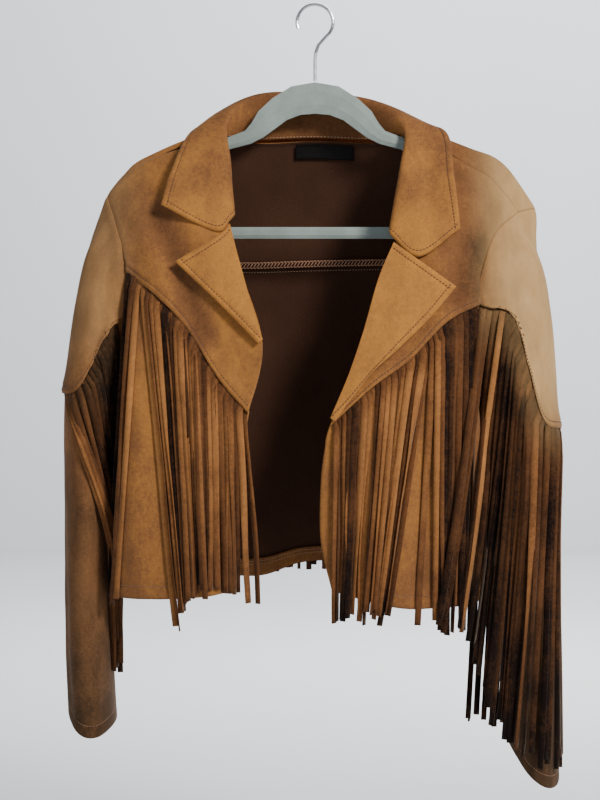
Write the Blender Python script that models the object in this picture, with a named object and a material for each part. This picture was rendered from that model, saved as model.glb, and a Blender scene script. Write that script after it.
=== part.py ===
"""A cropped suede jacket with fringed yokes, hanging open on a slim flocked hanger.

Lengths are in millimetres until the last step, which makes metres. +X is the wearer's left,
-Y the front and +Z up. The origin is the inside top of the hanger's hook, where a rail holds it.

Every panel is a loft through a short table: a row for each section, top to bottom, and a named
column for each line that runs down the garment. A panel is a wall on that loft, a piece on top
of it is the same loft moved out, and fringe is the loft of the space that its strips reach.
"""
import math

import bpy
import numpy as np

MM = 0.001
CLOTH = 1.5        # wall of the suede
SEAM_GAP = 0.45    # half of what is left open between two panels, along the cloth
FRINGE_OFF = 3.6   # from the inside of the panel to the inside of its fringe
FRINGE_WALL = 2.4
LABEL_OFF = 2.2    # from the inside of the back to the label's far face
LABEL_WALL = 0.9
LABEL_ACROSS = (0.467, 0.566)   # where it lies, in shares of the back and in its rows
LABEL_ROWS = (0.35, 1.18)
HEM_TURN = 19.0    # turned up inside the back
HEM_OFF = 2.0
HEM_WALL = 1.0
HEM_ACROSS = (0.103, 0.897)
LOWEST_BACK = 96.0  # height of the back between its last two sections
ACROSS_FRONT = 9    # grid lines across a front
ACROSS_BACK = 21
EDGE_IN = 0.004     # how far a panel stops short of its side, as a share of its width
FRINGE_ROWS = 8
CURTAIN_LINES = 15  # grid lines round a sleeve's fringe
CURTAIN_ROWS = 10
CURTAIN_TUCK = 0.16  # angle by which the fringe stops short of the armhole

# ---- fronts: columns from the free edge (the roll line above, the front edge below) to the side
FRONT_COLUMNS = ("edge", "quarter", "middle", "fold", "side")
FRONT_RIGHT = {
    "shoulder": [(-109, -4, -137), (-138, -5, -149), (-176, -5, -163), (-198, -5, -180), (-215, -5, -199)],
    "chest": [(-97, -33, -192), (-120, -38, -198), (-155, -38, -208), (-184, -33, -219), (-204, -22, -227)],
    "bust": [(-80, -59, -266), (-108, -58, -264), (-144, -54, -260), (-174, -48, -256), (-197, -38, -250)],
    "roll_end": [(-53, -79, -352), (-84, -73, -340), (-121, -66, -306), (-158, -56, -282), (-194, -43, -266)],
    "yoke_seam": [(-66, -80, -422), (-96, -74, -388), (-131, -66, -335), (-163, -56, -300), (-192, -45, -279)],
    "under": [(-71, -80, -448), (-101, -79, -424), (-143, -72, -382), (-187, -52, -340), (-192, -30, -336)],
    "armpit": [(-77, -78, -480), (-108, -81, -464), (-152, -74, -438), (-193, -52, -408), (-187, -6, -398)],
    "waist": [(-84, -74, -540), (-112, -79, -535), (-156, -73, -526), (-202, -51, -512), (-186, -6, -500)],
    "hem": [(-80, -71, -600), (-113, -77, -606), (-158, -70, -609), (-206, -48, -607), (-188, -6, -594)],
}
FRONT_LEFT = {
    "shoulder": [(106, -8, -142), (131, -10, -156), (156, -11, -166), (183, -12, -183), (209, -15, -216)],
    "chest": [(97, -33, -196), (114, -38, -202), (141, -39, -211), (164, -37, -224), (183, -33, -240)],
    "bust": [(77, -56, -264), (98, -57, -265), (124, -55, -268), (147, -51, -273), (169, -45, -279)],
    "roll_end": [(43, -74, -357), (72, -71, -335), (100, -65, -318), (132, -58, -304), (166, -48, -297)],
    "yoke_seam": [(14, -80, -435), (57, -76, -396), (95, -69, -368), (131, -62, -331), (166, -50, -311)],
    "under": [(9, -80, -458), (54, -80, -428), (99, -74, -400), (146, -61, -366), (163, -30, -348)],
    "armpit": [(5, -79, -492), (53, -83, -474), (104, -78, -450), (160, -56, -420), (160, -6, -402)],
    "waist": [(5, -76, -550), (56, -83, -543), (108, -79, -530), (168, -52, -515), (162, -6, -505)],
    "hem": [(16, -75, -600), (60, -81, -612), (104, -78, -618), (165, -48, -613), (161, -6, -597)],
}
FRONT_YOKE_ROW = 4
FRONT_YOKE_TOP = 0.045   # row at which it starts, clear of the back's yoke
FRONT_UNDERARM_ROW = 6

# ---- back: columns from the right side to the left side; the first row is the shoulder and neck seam
BACK_COLUMNS = ("side_right", "cap_right", "shoulder_right", "neck_right", "spine_right", "spine",
                "spine_left", "neck_left", "shoulder_left", "cap_left", "side_left")
BACK = {
    "seam": [(-215, -5, -199), (-198, -5, -180), (-176, -5, -163), (-109, -4, -136),
        (-60, 24, -139), (0, 31, -136), (60, 24, -139), (104, -7, -136.5),
        (156, -11, -166), (183, -12, -183), (209, -15, -216)],
    "ridge": [(-214, 4, -201), (-197, 5, -180), (-175, 5, -163), (-109, 6, -139),
        (-61, 31, -150), (0, 38, -148), (61, 31, -150), (106, 3, -137.5),
        (162, 2, -152), (195, 1, -167), (228, 0, -213)],
    "blade": [(-206, 22, -232), (-189, 30, -222), (-168, 38, -213), (-112, 46, -202),
        (-60, 51, -201), (0, 53, -200), (60, 50, -200), (110, 45, -201),
        (160, 36, -208), (186, 27, -219), (203, 18, -239)],
    "yoke_seam": [(-195, 29, -269), (-182, 37, -268), (-160, 45, -267), (-110, 51, -266),
        (-60, 54, -266), (0, 55, -264), (58, 53, -263), (105, 48, -263),
        (147, 39, -265), (165, 32, -267), (178, 24, -269)],
    "shoulder_blade": [(-190, 24, -335), (-180, 36, -335), (-158, 44, -334), (-110, 51, -333),
        (-60, 55, -333), (0, 56, -332), (56, 53, -331), (102, 47, -331),
        (140, 38, -333), (158, 30, -335), (167, 20, -336)],
    "armpit": [(-187, -3, -398), (-182, 26, -400), (-160, 41, -401), (-110, 51, -402),
        (-60, 55, -401), (0, 56, -400), (56, 53, -400), (102, 47, -400),
        (138, 36, -401), (156, 22, -402), (161, -3, -402)],
    "waist": [(-186, -3, -500), (-181, 26, -501), (-160, 40, -502), (-112, 51, -503),
        (-60, 56, -502), (-2, 54, -500), (52, 54, -500), (102, 47, -501),
        (138, 35, -503), (156, 21, -505), (162, -3, -505)],
    "hem": [(-188, -3, -594), (-182, 25, -595), (-160, 39, -596), (-112, 50, -595),
        (-58, 57, -598), (-12, 51, -583), (44, 55, -582), (100, 48, -588),
        (138, 35, -592), (156, 20, -595), (161, -3, -597)],
}
BACK_YOKE_ROW = 3
BACK_UNDERARM_ROW = 5

# ---- sleeves: a ring for each section below the armhole, through four points of it
RING_COLUMNS = ("outer", "front", "inner", "back")
SLEEVE_RIGHT = {
    "upper_arm": [(-238, 0, -270), (-213, -46, -322), (-199, -5, -412), (-212, 41, -326)],
    "yoke_seam": [(-257, 0, -388), (-229, -52, -402), (-203, -3, -440), (-228, 48, -408)],
    "elbow": [(-258, 0, -520), (-233, -54, -525), (-208, -2, -535), (-232, 50, -530)],
    "forearm": [(-257, 0, -660), (-233, -52, -664), (-208, -2, -668), (-232, 48, -665)],
    "cuff": [(-254, 0, -732), (-230, -47, -752), (-204, -2, -742), (-229, 43, -744)],
}
SLEEVE_LEFT = {
    "upper_arm": [(236, 0, -280), (203, -50, -325), (174, -8, -415), (199, 36, -332)],
    "yoke_seam": [(250, -2, -432), (216, -58, -436), (178, -6, -462), (214, 46, -442)],
    "elbow": [(248, -2, -560), (217, -57, -564), (184, -4, -570), (216, 48, -568)],
    "forearm": [(250, -1, -690), (221, -55, -692), (189, -4, -684), (220, 46, -692)],
    "cuff": [(252, 0, -802), (223, -50, -797), (196, -4, -760), (225, 42, -790)],
}
SLEEVE_SEAM = {"right": 2.03, "left": 1.97}   # ring at which the yoke seam passes the outer side
SLEEVE_SEAM_POWER = {"right": 7.0, "left": 5.5}   # how square the seam turns in front
SLEEVE_SEAM_BEHIND = 1.7   # and behind
SLEEVE_SEAM_LEAST = 0.02
SLEEVE_MEETS = {"right": 4.8, "left": 4.15}   # section of the front at which the sleeve's seam ends
SLEEVE_FULLNESS = 6.0   # how far the sleeve stands off the body just below the armhole
UNDERARM_TOP = 0.014    # where the sleeve starts below the armhole, and where its yoke does
CAP_TOP = 0.022
CAP_GAP = 0.012         # from the sleeve's yoke seam to each of the two edges that meet there
UNDERARM_LINES = 9
SLEEVE_ROWS = 10

# ---- collar: columns from the right end round the neck to the left end
COLLAR = {
    "neck_seam": [(-84, -41, -224), (-92, -24, -180), (-102, -6, -138), (-62, 21, -136), (0, 28, -133),
                  (62, 21, -136), (99, -6, -135.5), (91, -26, -184), (76, -46, -240)],
    "stand": [(-84, -45, -223), (-89, -28, -172), (-95, -8, -128), (-61, 17, -110), (0, 23, -108),
              (61, 17, -113), (94, -8, -131), (89, -29, -175), (76, -49, -240)],
    "roll": [(-87, -50, -229), (-91, -36, -172), (-93, -6, -120), (-63, 16, -92), (0, 22, -89.5),
             (62, 16, -98), (96, -5, -124), (91, -38, -177), (79, -54, -247)],
    "fall": [(-101, -55, -240), (-117, -41, -180), (-110, -1, -121), (-73, 33, -101), (0, 38, -98),
             (73, 33, -107), (113, -1, -126), (116, -42, -190), (104, -61, -266)],
    "edge": [(-156, -55, -213), (-147, -41, -178), (-127, 2, -132), (-82, 46, -138), (0, 52, -142),
             (84, 46, -143), (134, 2, -130), (141, -47, -186), (146, -55, -237)],
}

# ---- lapels: columns from the roll line to the outer edge, rows from the gorge down
LAPEL_RIGHT = {
    "gorge": [(-87, -53, -232), (-100, -62, -246), (-141, -66, -271)],
    "upper": [(-78, -64, -265), (-96, -70, -283), (-121, -71, -290)],
    "lower": [(-66, -75, -308), (-77, -79, -317), (-89, -79, -321)],
    "foot": [(-53, -84, -350), (-55, -85, -352), (-57, -85, -354)],
}
LAPEL_LEFT = {
    "gorge": [(79, -58, -251), (104, -67, -270), (141, -66, -296)],
    "upper": [(63, -68, -288), (88, -74, -311), (114, -73, -328)],
    "lower": [(48, -77, -340), (64, -82, -359), (80, -81, -361)],
    "low": [(33, -82, -385), (42, -85, -392), (51, -84, -388)],
    "foot": [(15, -84.5, -428), (17, -85.5, -430), (19, -85.5, -431)],
}

# ---- fringe: how far below its seam each one's strips end
FRONT_TIPS = {"right": [-612, -604, -612, -626, -622], "left": [-630, -630, -636, -640, -632]}
BACK_TIPS = -592
CURTAIN_RIGHT = [(-213, -62), (-236, -70), (-263, -38), (-269, 2), (-262, 38), (-234, 63), (-211, 60)]
CURTAIN_LEFT = [(150, -90), (206, -76), (252, -50), (265, -4), (256, 38), (218, 63), (188, 60)]
SLEEVE_TIPS = {
    "right": [-676, -690, -696, -700, -696, -690, -680],
    "left": [-640, -712, -790, -800, -790, -760, -740],
}

# ---- hanger
HANGER_THICK = 6.0
HANGER_ARM = [  # x from the middle, top edge, bottom edge
    (0, -79.5, -112), (20, -83, -114), (37, -94, -121), (50, -106, -131), (60, -120, -139),
    (70, -129.5, -144), (91.5, -137.5, -149.5), (102, -143.5, -156), (140, -160, -172), (190, -182, -195),
]
HANGER_SHOULDER = [(199, -195, 6.2), (203, -207, 6.0), (200, -221, 6.0), (190, -232, 6.0)]  # x, z, half
HANGER_BAR_Z, HANGER_BAR_HALF = -236.0, 6.0
HOOK_WIRE = 1.75
HOOK_INSIDE = 17.0
HOOK_STEM_END = -84.0

SUEDE = (0.36, 0.19, 0.085, 1)
SUEDE_DARK = (0.16, 0.075, 0.035, 1)
FLOCK = (0.38, 0.44, 0.42, 1)
STEEL = (0.6, 0.6, 0.6, 1)
BLACK = (0.01, 0.01, 0.012, 1)


def smooth(points, at):
    """Points read off the smooth curve through the rows of points, at each place in rows."""
    points = np.asarray(points, float)
    at = np.clip(np.asarray(at, float), 0, len(points) - 1)
    start = np.minimum(at.astype(int), len(points) - 2)
    share = (at - start).reshape(at.shape + (1,) * (points.ndim - 1))
    slope = np.gradient(points, axis=0)
    square, cube = share ** 2, share ** 3
    return ((2 * cube - 3 * square + 1) * points[start] + (cube - 2 * square + share) * slope[start]
            + (3 * square - 2 * cube) * points[start + 1] + (cube - square) * slope[start + 1])


class Loft:
    """The smooth surface through a table's sections: across is 0 to 1, down counts the rows."""

    def __init__(self, sections, columns=None):
        self.net = np.array(list(sections.values()), float)
        if columns and self.net.shape[1] != len(columns):
            raise ValueError(f"each section needs a point for each of {columns}")
        self.last_row = len(self.net) - 1

    def at(self, across, down):
        rows = smooth(self.net, np.asarray(down, float))
        columns = self.net.shape[1] - 1
        flat_across = np.asarray(across, float).ravel() * columns
        flat_rows = rows.reshape(-1, columns + 1, 3)
        found = [smooth(row, place) for row, place in zip(flat_rows, flat_across)]
        return np.array(found).reshape(np.shape(down) + (3,))


def normals(surface, across, down, step=0.004):
    """Unit normals of surface(across, down), by small steps to both sides."""
    along = surface(across + step, down) - surface(across - step, down)
    below = surface(across, down + 5 * step) - surface(across, down - 5 * step)
    found = np.cross(along, below)
    return found / np.maximum(np.linalg.norm(found, axis=-1, keepdims=True), 1e-9)


def wall(name, surface, across, down, off, thick, material, outward, ring=False):
    """A closed wall on surface: its inner face lies off from it, and it is thick from there out."""
    found = normals(surface, across, down) * outward
    if ring:  # the armhole comes to a point under the arm, where the wall would turn through itself
        found = found + (np.roll(found, 1, axis=1) + np.roll(found, -1, axis=1)) / 2
        found /= np.linalg.norm(found, axis=-1, keepdims=True)
    middle = surface(across, down)
    inner, outer = middle + found * off, middle + found * (off + thick)
    return closed_wall(name, inner, outer, material, ring)


def halves(grid_points, row, column):
    """The two triangles of one grid cell, cut along its shorter diagonal.

    Both faces of a wall are cut the same way: a twisted cell cut two ways would cross itself.
    """
    columns = grid_points.shape[1]
    corners = [(row, column), (row, column + 1), (row + 1, column + 1), (row + 1, column)]
    first, second, third, fourth = (grid_points[place, beside % columns] for place, beside in corners)
    if np.linalg.norm(third - first) <= np.linalg.norm(fourth - second):
        return (corners[0], corners[1], corners[2]), (corners[0], corners[2], corners[3])
    return (corners[0], corners[1], corners[3]), (corners[1], corners[2], corners[3])


def closed_wall(name, inner, outer, material, ring=False):
    """Two grids of points, rows by columns, joined along their rims into one closed body."""
    rows, columns = inner.shape[:2]
    points = np.concatenate([inner.reshape(-1, 3), outer.reshape(-1, 3)]) * MM
    far = rows * columns

    def point(layer, row, column):
        return layer * far + row * columns + column % columns

    faces = []
    last_column = columns if ring else columns - 1
    for row in range(rows - 1):
        for column in range(last_column):
            for corners in halves(inner, row, column):
                faces.append([point(1, *corner) for corner in corners])
                faces.append([point(0, *corner) for corner in reversed(corners)])
    for column in range(last_column):
        for row, flip in ((0, True), (rows - 1, False)):
            face = [point(1, row, column), point(1, row, column + 1),
                    point(0, row, column + 1), point(0, row, column)]
            faces.append(face[::-1] if flip else face)
    if not ring:
        for row in range(rows - 1):
            for column, flip in ((0, False), (columns - 1, True)):
                face = [point(1, row, column), point(1, row + 1, column),
                        point(0, row + 1, column), point(0, row, column)]
                faces.append(face[::-1] if flip else face)
    return add_solid(name, points, faces, material)


def signed_volume(points, faces):
    total = 0.0
    for face in faces:
        first = points[face[0]]
        for second, third in zip(face[1:-1], face[2:]):
            total += np.dot(first, np.cross(points[second], points[third]))
    return total


def add_solid(name, points, faces, material):
    if signed_volume(points, faces) < 0:
        faces = [face[::-1] for face in faces]
    mesh = bpy.data.meshes.new(name)
    mesh.from_pydata([tuple(point) for point in points], [], faces)
    mesh.materials.append(material)
    mesh.shade_smooth()
    mesh.set_sharp_from_angle(angle=math.radians(50))
    made = bpy.data.objects.new(name, mesh)
    bpy.context.scene.collection.objects.link(made)
    return made


def material(name, colour, roughness, metallic=0.0):
    made = bpy.data.materials.new(name)
    made.use_nodes = True
    shader = made.node_tree.nodes["Principled BSDF"]
    shader.inputs["Base Color"].default_value = colour
    shader.inputs["Roughness"].default_value = roughness
    shader.inputs["Metallic"].default_value = metallic
    return made


def grid(across, down):
    return np.meshgrid(across, down)


def row_share(surface, down, gap):
    """The part of a row that gap millimetres take near the row at down, measured mid panel."""
    step = 0.05
    middle = np.array([0.5, 0.5])
    above, below = surface(middle, np.array([down - step, down + step]))
    return gap * 2 * step / np.linalg.norm(below - above)


def build_fronts(suede):
    made = {}
    for side, table, turn in (("right", FRONT_RIGHT, 1), ("left", FRONT_LEFT, -1)):
        surface = Loft(table, FRONT_COLUMNS)
        across = np.linspace(EDGE_IN, 1 - 2 * EDGE_IN, ACROSS_FRONT)
        seam = FRONT_YOKE_ROW
        yoke_rows = np.linspace(FRONT_YOKE_TOP, seam - row_share(surface.at, seam - 0.1, SEAM_GAP), 9)
        lower_rows = np.linspace(seam + row_share(surface.at, seam + 0.1, SEAM_GAP), surface.last_row, 9)
        wall(f"front_yoke_{side}", surface.at, *grid(across, yoke_rows), 0, CLOTH, suede, turn)
        wall(f"front_{side}", surface.at, *grid(across, lower_rows), 0, CLOTH, suede, turn)
        made[side] = surface
    return made


def build_back(suede, black):
    surface = Loft(BACK, BACK_COLUMNS)
    across = np.linspace(EDGE_IN, 1 - EDGE_IN, ACROSS_BACK)
    seam = BACK_YOKE_ROW
    yoke_rows = np.concatenate([[0.08, 0.5], np.linspace(1, seam - 0.01, 5)])
    wall("back_yoke", surface.at, *grid(across, yoke_rows), 0, CLOTH, suede, 1)
    wall("back", surface.at, *grid(across, np.linspace(seam + 0.01, surface.last_row, 8)),
         0, CLOTH, suede, 1)
    hem_share = HEM_TURN / LOWEST_BACK
    hem_rows = np.linspace(surface.last_row - hem_share, surface.last_row, 3)
    hem_across = np.linspace(*HEM_ACROSS, 17)
    wall("back_hem", surface.at, *grid(hem_across, hem_rows), -HEM_OFF, HEM_WALL, suede, 1)
    label_rows = np.linspace(*LABEL_ROWS, 4)
    wall("neck_label", surface.at, *grid(np.linspace(*LABEL_ACROSS, 5), label_rows),
         -LABEL_OFF, LABEL_WALL, black, 1)
    return surface


def seam_by_length(surface, across, last_row, samples=60):
    """A side seam as points evenly spaced along it, and the share of it above each row."""
    rows = np.linspace(0, last_row, samples)
    points = surface.at(np.full(samples, across), rows)
    walked = np.concatenate([[0], np.cumsum(np.linalg.norm(np.diff(points, axis=0), axis=1))])
    return points, walked / walked[-1], rows


class Sleeve:
    """Rings from the armhole to the cuff: round is the angle from the outer side, forward first."""

    def __init__(self, side, table, front, back):
        self.side = side
        self.rings = Loft(table, RING_COLUMNS).net
        self.last_ring = len(self.rings)
        back_edge = 0.0 if side == "right" else 1.0
        self.front_edge = seam_by_length(front, 1.0, FRONT_UNDERARM_ROW)
        self.back_edge = seam_by_length(back, back_edge, BACK_UNDERARM_ROW)
        self.meets = {}
        seams = (("front", self.front_edge, SLEEVE_MEETS[side]), ("back", self.back_edge, BACK_YOKE_ROW))
        for name, edge, row in seams:
            self.meets[name] = math.pi * float(np.interp(row, edge[2], edge[1]))

    def armhole(self, angle):
        """The point of the armhole seam at each angle."""
        turn = np.mod(angle + math.pi, 2 * math.pi) - math.pi
        share = np.abs(turn) / math.pi
        found = []
        for edge in (self.front_edge, self.back_edge):
            points, walked = edge[:2]
            found.append(np.stack([np.interp(share, walked, points[:, axis]) for axis in range(3)], axis=-1))
        return np.where((turn >= 0)[..., None], found[0], found[1])

    def at(self, angle, down):
        angle, down = np.broadcast_arrays(np.asarray(angle, float), np.asarray(down, float))
        outer, front, inner, back = (self.rings[:, column] for column in range(4))
        middle, other = (outer + inner) / 2, (front + back) / 2
        cosine, sine = np.cos(angle)[..., None], np.sin(angle)[..., None]
        levels = [self.armhole(angle)]
        for ring in range(len(self.rings)):
            levels.append(middle[ring] + cosine * (outer - inner)[ring] / 2
                          + sine * (front - back)[ring] / 2 + sine ** 2 * (other - middle)[ring])
        levels = np.array(levels)
        flat = levels.reshape(len(levels), -1, 3)
        found = [smooth(flat[:, index], place) for index, place in enumerate(down.ravel())]
        found = np.array(found).reshape(down.shape + (3,))
        fullness = (0.5 + np.sin(math.pi * np.clip(down, 0, 1))) * (1 - np.cos(angle)) / 2
        found[..., 0] += math.copysign(SLEEVE_FULLNESS, outer[0, 0]) * fullness
        return found

    def seam(self, angle):
        """The ring count at which the sleeve's yoke seam passes each angle."""
        turn = np.mod(np.asarray(angle, float) + math.pi, 2 * math.pi) - math.pi
        meet = np.where(turn >= 0, self.meets["front"], self.meets["back"])
        share = np.clip(np.abs(turn) / meet, 0, 1)
        power = np.where(turn >= 0, SLEEVE_SEAM_POWER[self.side], SLEEVE_SEAM_BEHIND)
        return SLEEVE_SEAM_LEAST + SLEEVE_SEAM[self.side] * (1 - share ** power)


def build_sleeves(suede, fronts, back):
    made = {}
    for side, table, turn in (("right", SLEEVE_RIGHT, -1), ("left", SLEEVE_LEFT, 1)):
        sleeve = Sleeve(side, table, fronts[side], back)
        front, behind = sleeve.meets["front"], sleeve.meets["back"]
        crown = np.linspace(-behind, front, 15)
        cap = crown[1:-1]
        share = np.linspace(0, 1, 6)[:, None]
        across = np.broadcast_to(cap, (6, len(cap)))
        down = CAP_TOP + (sleeve.seam(cap) - CAP_TOP - CAP_GAP) * share
        wall(f"sleeve_yoke_{side}", sleeve.at, across, down, 0, CLOTH, suede, turn)
        under = 2 * math.pi - front - behind
        below = np.arange(1, UNDERARM_LINES + 1) / (UNDERARM_LINES + 1)
        ring = np.concatenate([crown, front + under * below])
        top = np.concatenate([sleeve.seam(crown) + CAP_GAP, np.full(UNDERARM_LINES, UNDERARM_TOP)])
        share = np.linspace(0, 1, SLEEVE_ROWS)[:, None]
        wall(f"sleeve_{side}", sleeve.at, np.broadcast_to(ring, (SLEEVE_ROWS, len(ring))),
             top + (sleeve.last_ring - top) * share, 0, CLOTH, suede, turn, ring=True)
        made[side] = sleeve
    return made


def build_collar_and_lapels(suede):
    collar = Loft(COLLAR)
    wall("collar", collar.at, *grid(np.linspace(0, 1, 25), np.linspace(0, 4, 9)), 0, CLOTH, suede, 1)
    for side, table, turn in (("right", LAPEL_RIGHT, 1), ("left", LAPEL_LEFT, -1)):
        lapel = Loft(table)
        wall(f"lapel_{side}", lapel.at, *grid(np.linspace(0, 1, 5), np.linspace(0, lapel.last_row, 7)),
             0, CLOTH, suede, turn)


def build_flat_fringes(dark, fronts, back):
    share = np.linspace(0, 1, FRINGE_ROWS)[:, None]
    for side, turn in (("right", 1), ("left", -1)):
        surface = fronts[side]
        across = np.linspace(EDGE_IN, 1 - 2 * EDGE_IN, ACROSS_FRONT)[:-2]
        tips = smooth(np.array(FRONT_TIPS[side], float)[:, None], across * 4)[:, 0]
        hang_panel("fringe_front_" + side, surface, across, FRONT_YOKE_ROW + 0.06, tips, share, turn, dark)
    across = np.linspace(EDGE_IN, 1 - EDGE_IN, ACROSS_BACK)[2:-2]
    tips = np.full(len(across), float(BACK_TIPS))
    hang_panel("fringe_back", back, across, BACK_YOKE_ROW + 0.06, tips, share, 1, dark)


def hang_panel(name, surface, across, seam_row, tips, share, turn, look):
    """Fringe that lies on a panel: the panel's own points moved out, and straight down past its hem."""
    rows = np.linspace(seam_row, surface.last_row, len(share))
    places, down = grid(across, rows)
    lying = surface.at(places, down)
    facing = normals(surface.at, places, down) * turn
    drop = tips - lying[-1, :, 2]
    lying[:, :, 2] += drop * share ** 2
    inner = lying + facing * FRINGE_OFF
    closed_wall(name, inner, lying + facing * (FRINGE_OFF + FRINGE_WALL), look)


def build_sleeve_fringes(dark, sleeves):
    for side, curtain, turn in (("right", CURTAIN_RIGHT, -1), ("left", CURTAIN_LEFT, 1)):
        sleeve = sleeves[side]
        angles = np.linspace(sleeve.meets["front"] - CURTAIN_TUCK, CURTAIN_TUCK - sleeve.meets["back"],
                             CURTAIN_LINES)
        root_down = sleeve.seam(angles) + 0.03
        facing = normals(sleeve.at, angles, root_down) * turn
        roots = sleeve.at(angles, root_down) + facing * FRINGE_OFF
        places = np.linspace(0, 1, CURTAIN_LINES) * (len(curtain) - 1)
        hang = smooth(np.array(curtain, float), places)
        tips = smooth(np.array(SLEEVE_TIPS[side], float)[:, None], places)[:, 0]
        rows = []
        for share in np.linspace(0, 1, CURTAIN_ROWS) ** 1.3:
            settled = 1 - (1 - share) ** 5
            row = np.empty((CURTAIN_LINES, 3))
            row[:, :2] = roots[:, :2] + (hang - roots[:, :2]) * settled
            row[:, 2] = roots[:, 2] + (tips - roots[:, 2]) * share
            rows.append(row)
        inner = np.array(rows)
        along = np.gradient(inner, axis=1)
        below = np.gradient(inner, axis=0)
        out = np.cross(along, below)
        out /= np.linalg.norm(out, axis=-1, keepdims=True)
        middle = hang.mean(axis=0)
        away = inner[-1, CURTAIN_LINES // 2, :2] - middle
        if np.dot(out[-1, CURTAIN_LINES // 2, :2], away) < 0:
            out = -out
        closed_wall(f"fringe_sleeve_{side}", inner, inner + out * FRINGE_WALL, dark)


def build_hanger(flock, steel):
    """The frame is one closed loop: over the arch, down both arms, round the ends and along the bar."""
    half_frame = [(x, (top + bottom) / 2, (top - bottom) / 2) for x, top, bottom in HANGER_ARM]
    half_frame += HANGER_SHOULDER
    bar = [(x, HANGER_BAR_Z, HANGER_BAR_HALF) for x in (176, 120, 60)]
    right_half = half_frame + bar
    left_half = [(-x, z, half) for x, z, half in reversed(right_half[1:])]
    loop = right_half + [(0, HANGER_BAR_Z, HANGER_BAR_HALF)] + left_half
    loop = np.array(loop, float)
    centres = loop[:, :2]
    along = np.roll(centres, -1, axis=0) - np.roll(centres, 1, axis=0)
    along /= np.linalg.norm(along, axis=1, keepdims=True)
    across = np.stack([-along[:, 1], along[:, 0]], axis=1)
    across[0] = (0, 1)
    points, sides = [], 8
    for (x, z), (side_x, side_z), half in zip(centres, across, loop[:, 2]):
        for step in range(sides):
            turn = 2 * math.pi * (step + 0.5) / sides
            flat = math.copysign(min(1.0, abs(math.cos(turn)) * 1.09), math.cos(turn))
            deep = math.copysign(min(1.0, abs(math.sin(turn)) * 1.09), math.sin(turn)) * HANGER_THICK / 2
            points.append((x + side_x * flat * half, deep, z + side_z * flat * half))
    count = len(loop)
    faces = []
    for ring in range(count):
        for step in range(sides):
            other, beside = (ring + 1) % count, (step + 1) % sides
            faces.append([ring * sides + step, ring * sides + beside,
                          other * sides + beside, other * sides + step])
    add_solid("hanger", np.array(points) * MM, faces, flock)

    wire = HOOK_INSIDE + HOOK_WIRE
    route = []
    for degrees in range(200, -61, -12):
        turn = math.radians(degrees)
        route.append((wire * math.cos(turn), 0, -HOOK_INSIDE + wire * math.sin(turn)))
    route += [(3.4, 0, -41), (0.6, 0, -49), (0, 0, -58), (0, 0, -68), (0, 0, -78.0)]
    curve = bpy.data.curves.new("hanger_hook", "CURVE")
    curve.dimensions = "3D"
    curve.bevel_depth = HOOK_WIRE * MM
    curve.bevel_resolution = 2
    curve.use_fill_caps = True
    spline = curve.splines.new("POLY")
    spline.points.add(len(route) - 1)
    for point, place in zip(spline.points, route):
        point.co = (place[0] * MM, place[1] * MM, place[2] * MM, 1)
    curve.materials.append(steel)
    bpy.context.scene.collection.objects.link(bpy.data.objects.new("hanger_hook", curve))


def main():
    for old in list(bpy.data.objects):
        bpy.data.objects.remove(old, do_unlink=True)
    suede = material("suede", SUEDE, 0.9)
    dark = material("suede_fringe", SUEDE_DARK, 0.9)
    flock = material("flock", FLOCK, 0.95)
    steel = material("steel", STEEL, 0.3, 1.0)
    black = material("label", BLACK, 0.6)
    fronts = build_fronts(suede)
    back = build_back(suede, black)
    sleeves = build_sleeves(suede, fronts, back)
    build_collar_and_lapels(suede)
    build_flat_fringes(dark, fronts, back)
    build_sleeve_fringes(dark, sleeves)
    build_hanger(flock, steel)


main()
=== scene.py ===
# %% [markdown]
# # A fringed suede jacket on a slim flocked hanger
#
# The jacket is unlined suede cloth, cut with a notched collar and slanting yokes, and every
# yoke seam carries a row of cut fringe. Each panel here is drawn the way a pattern maker
# thinks of it: a table with a row for each section of the body and a named column for each
# line that runs down it. A smooth surface goes through the table, folds are pressed into that
# surface, and a closed shell of cloth is laid on it.

# %% The frame that everything fits
import math
import random

import bpy
import numpy as np
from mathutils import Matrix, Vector, noise
from mathutils.bvhtree import BVHTree


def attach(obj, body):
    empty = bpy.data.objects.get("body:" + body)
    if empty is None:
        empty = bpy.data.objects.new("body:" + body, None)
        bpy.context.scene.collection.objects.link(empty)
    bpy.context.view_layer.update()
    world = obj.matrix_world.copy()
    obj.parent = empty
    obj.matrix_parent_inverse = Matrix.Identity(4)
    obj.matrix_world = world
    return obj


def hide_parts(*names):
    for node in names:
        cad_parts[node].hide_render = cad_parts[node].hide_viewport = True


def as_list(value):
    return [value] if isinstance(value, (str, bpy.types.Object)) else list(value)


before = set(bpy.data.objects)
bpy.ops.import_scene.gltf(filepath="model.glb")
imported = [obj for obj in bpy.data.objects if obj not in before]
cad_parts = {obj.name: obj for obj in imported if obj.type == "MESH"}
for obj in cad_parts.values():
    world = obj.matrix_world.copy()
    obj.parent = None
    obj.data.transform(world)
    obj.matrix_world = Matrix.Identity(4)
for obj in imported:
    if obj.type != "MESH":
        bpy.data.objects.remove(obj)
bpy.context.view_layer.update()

# %% [markdown]
# ## Sizes
# Cloth is measured in millimetres here and turned into metres as each mesh is made. -X is the
# wearer's right and -Y the front. One table holds the thin measures that all pieces share.

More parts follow.
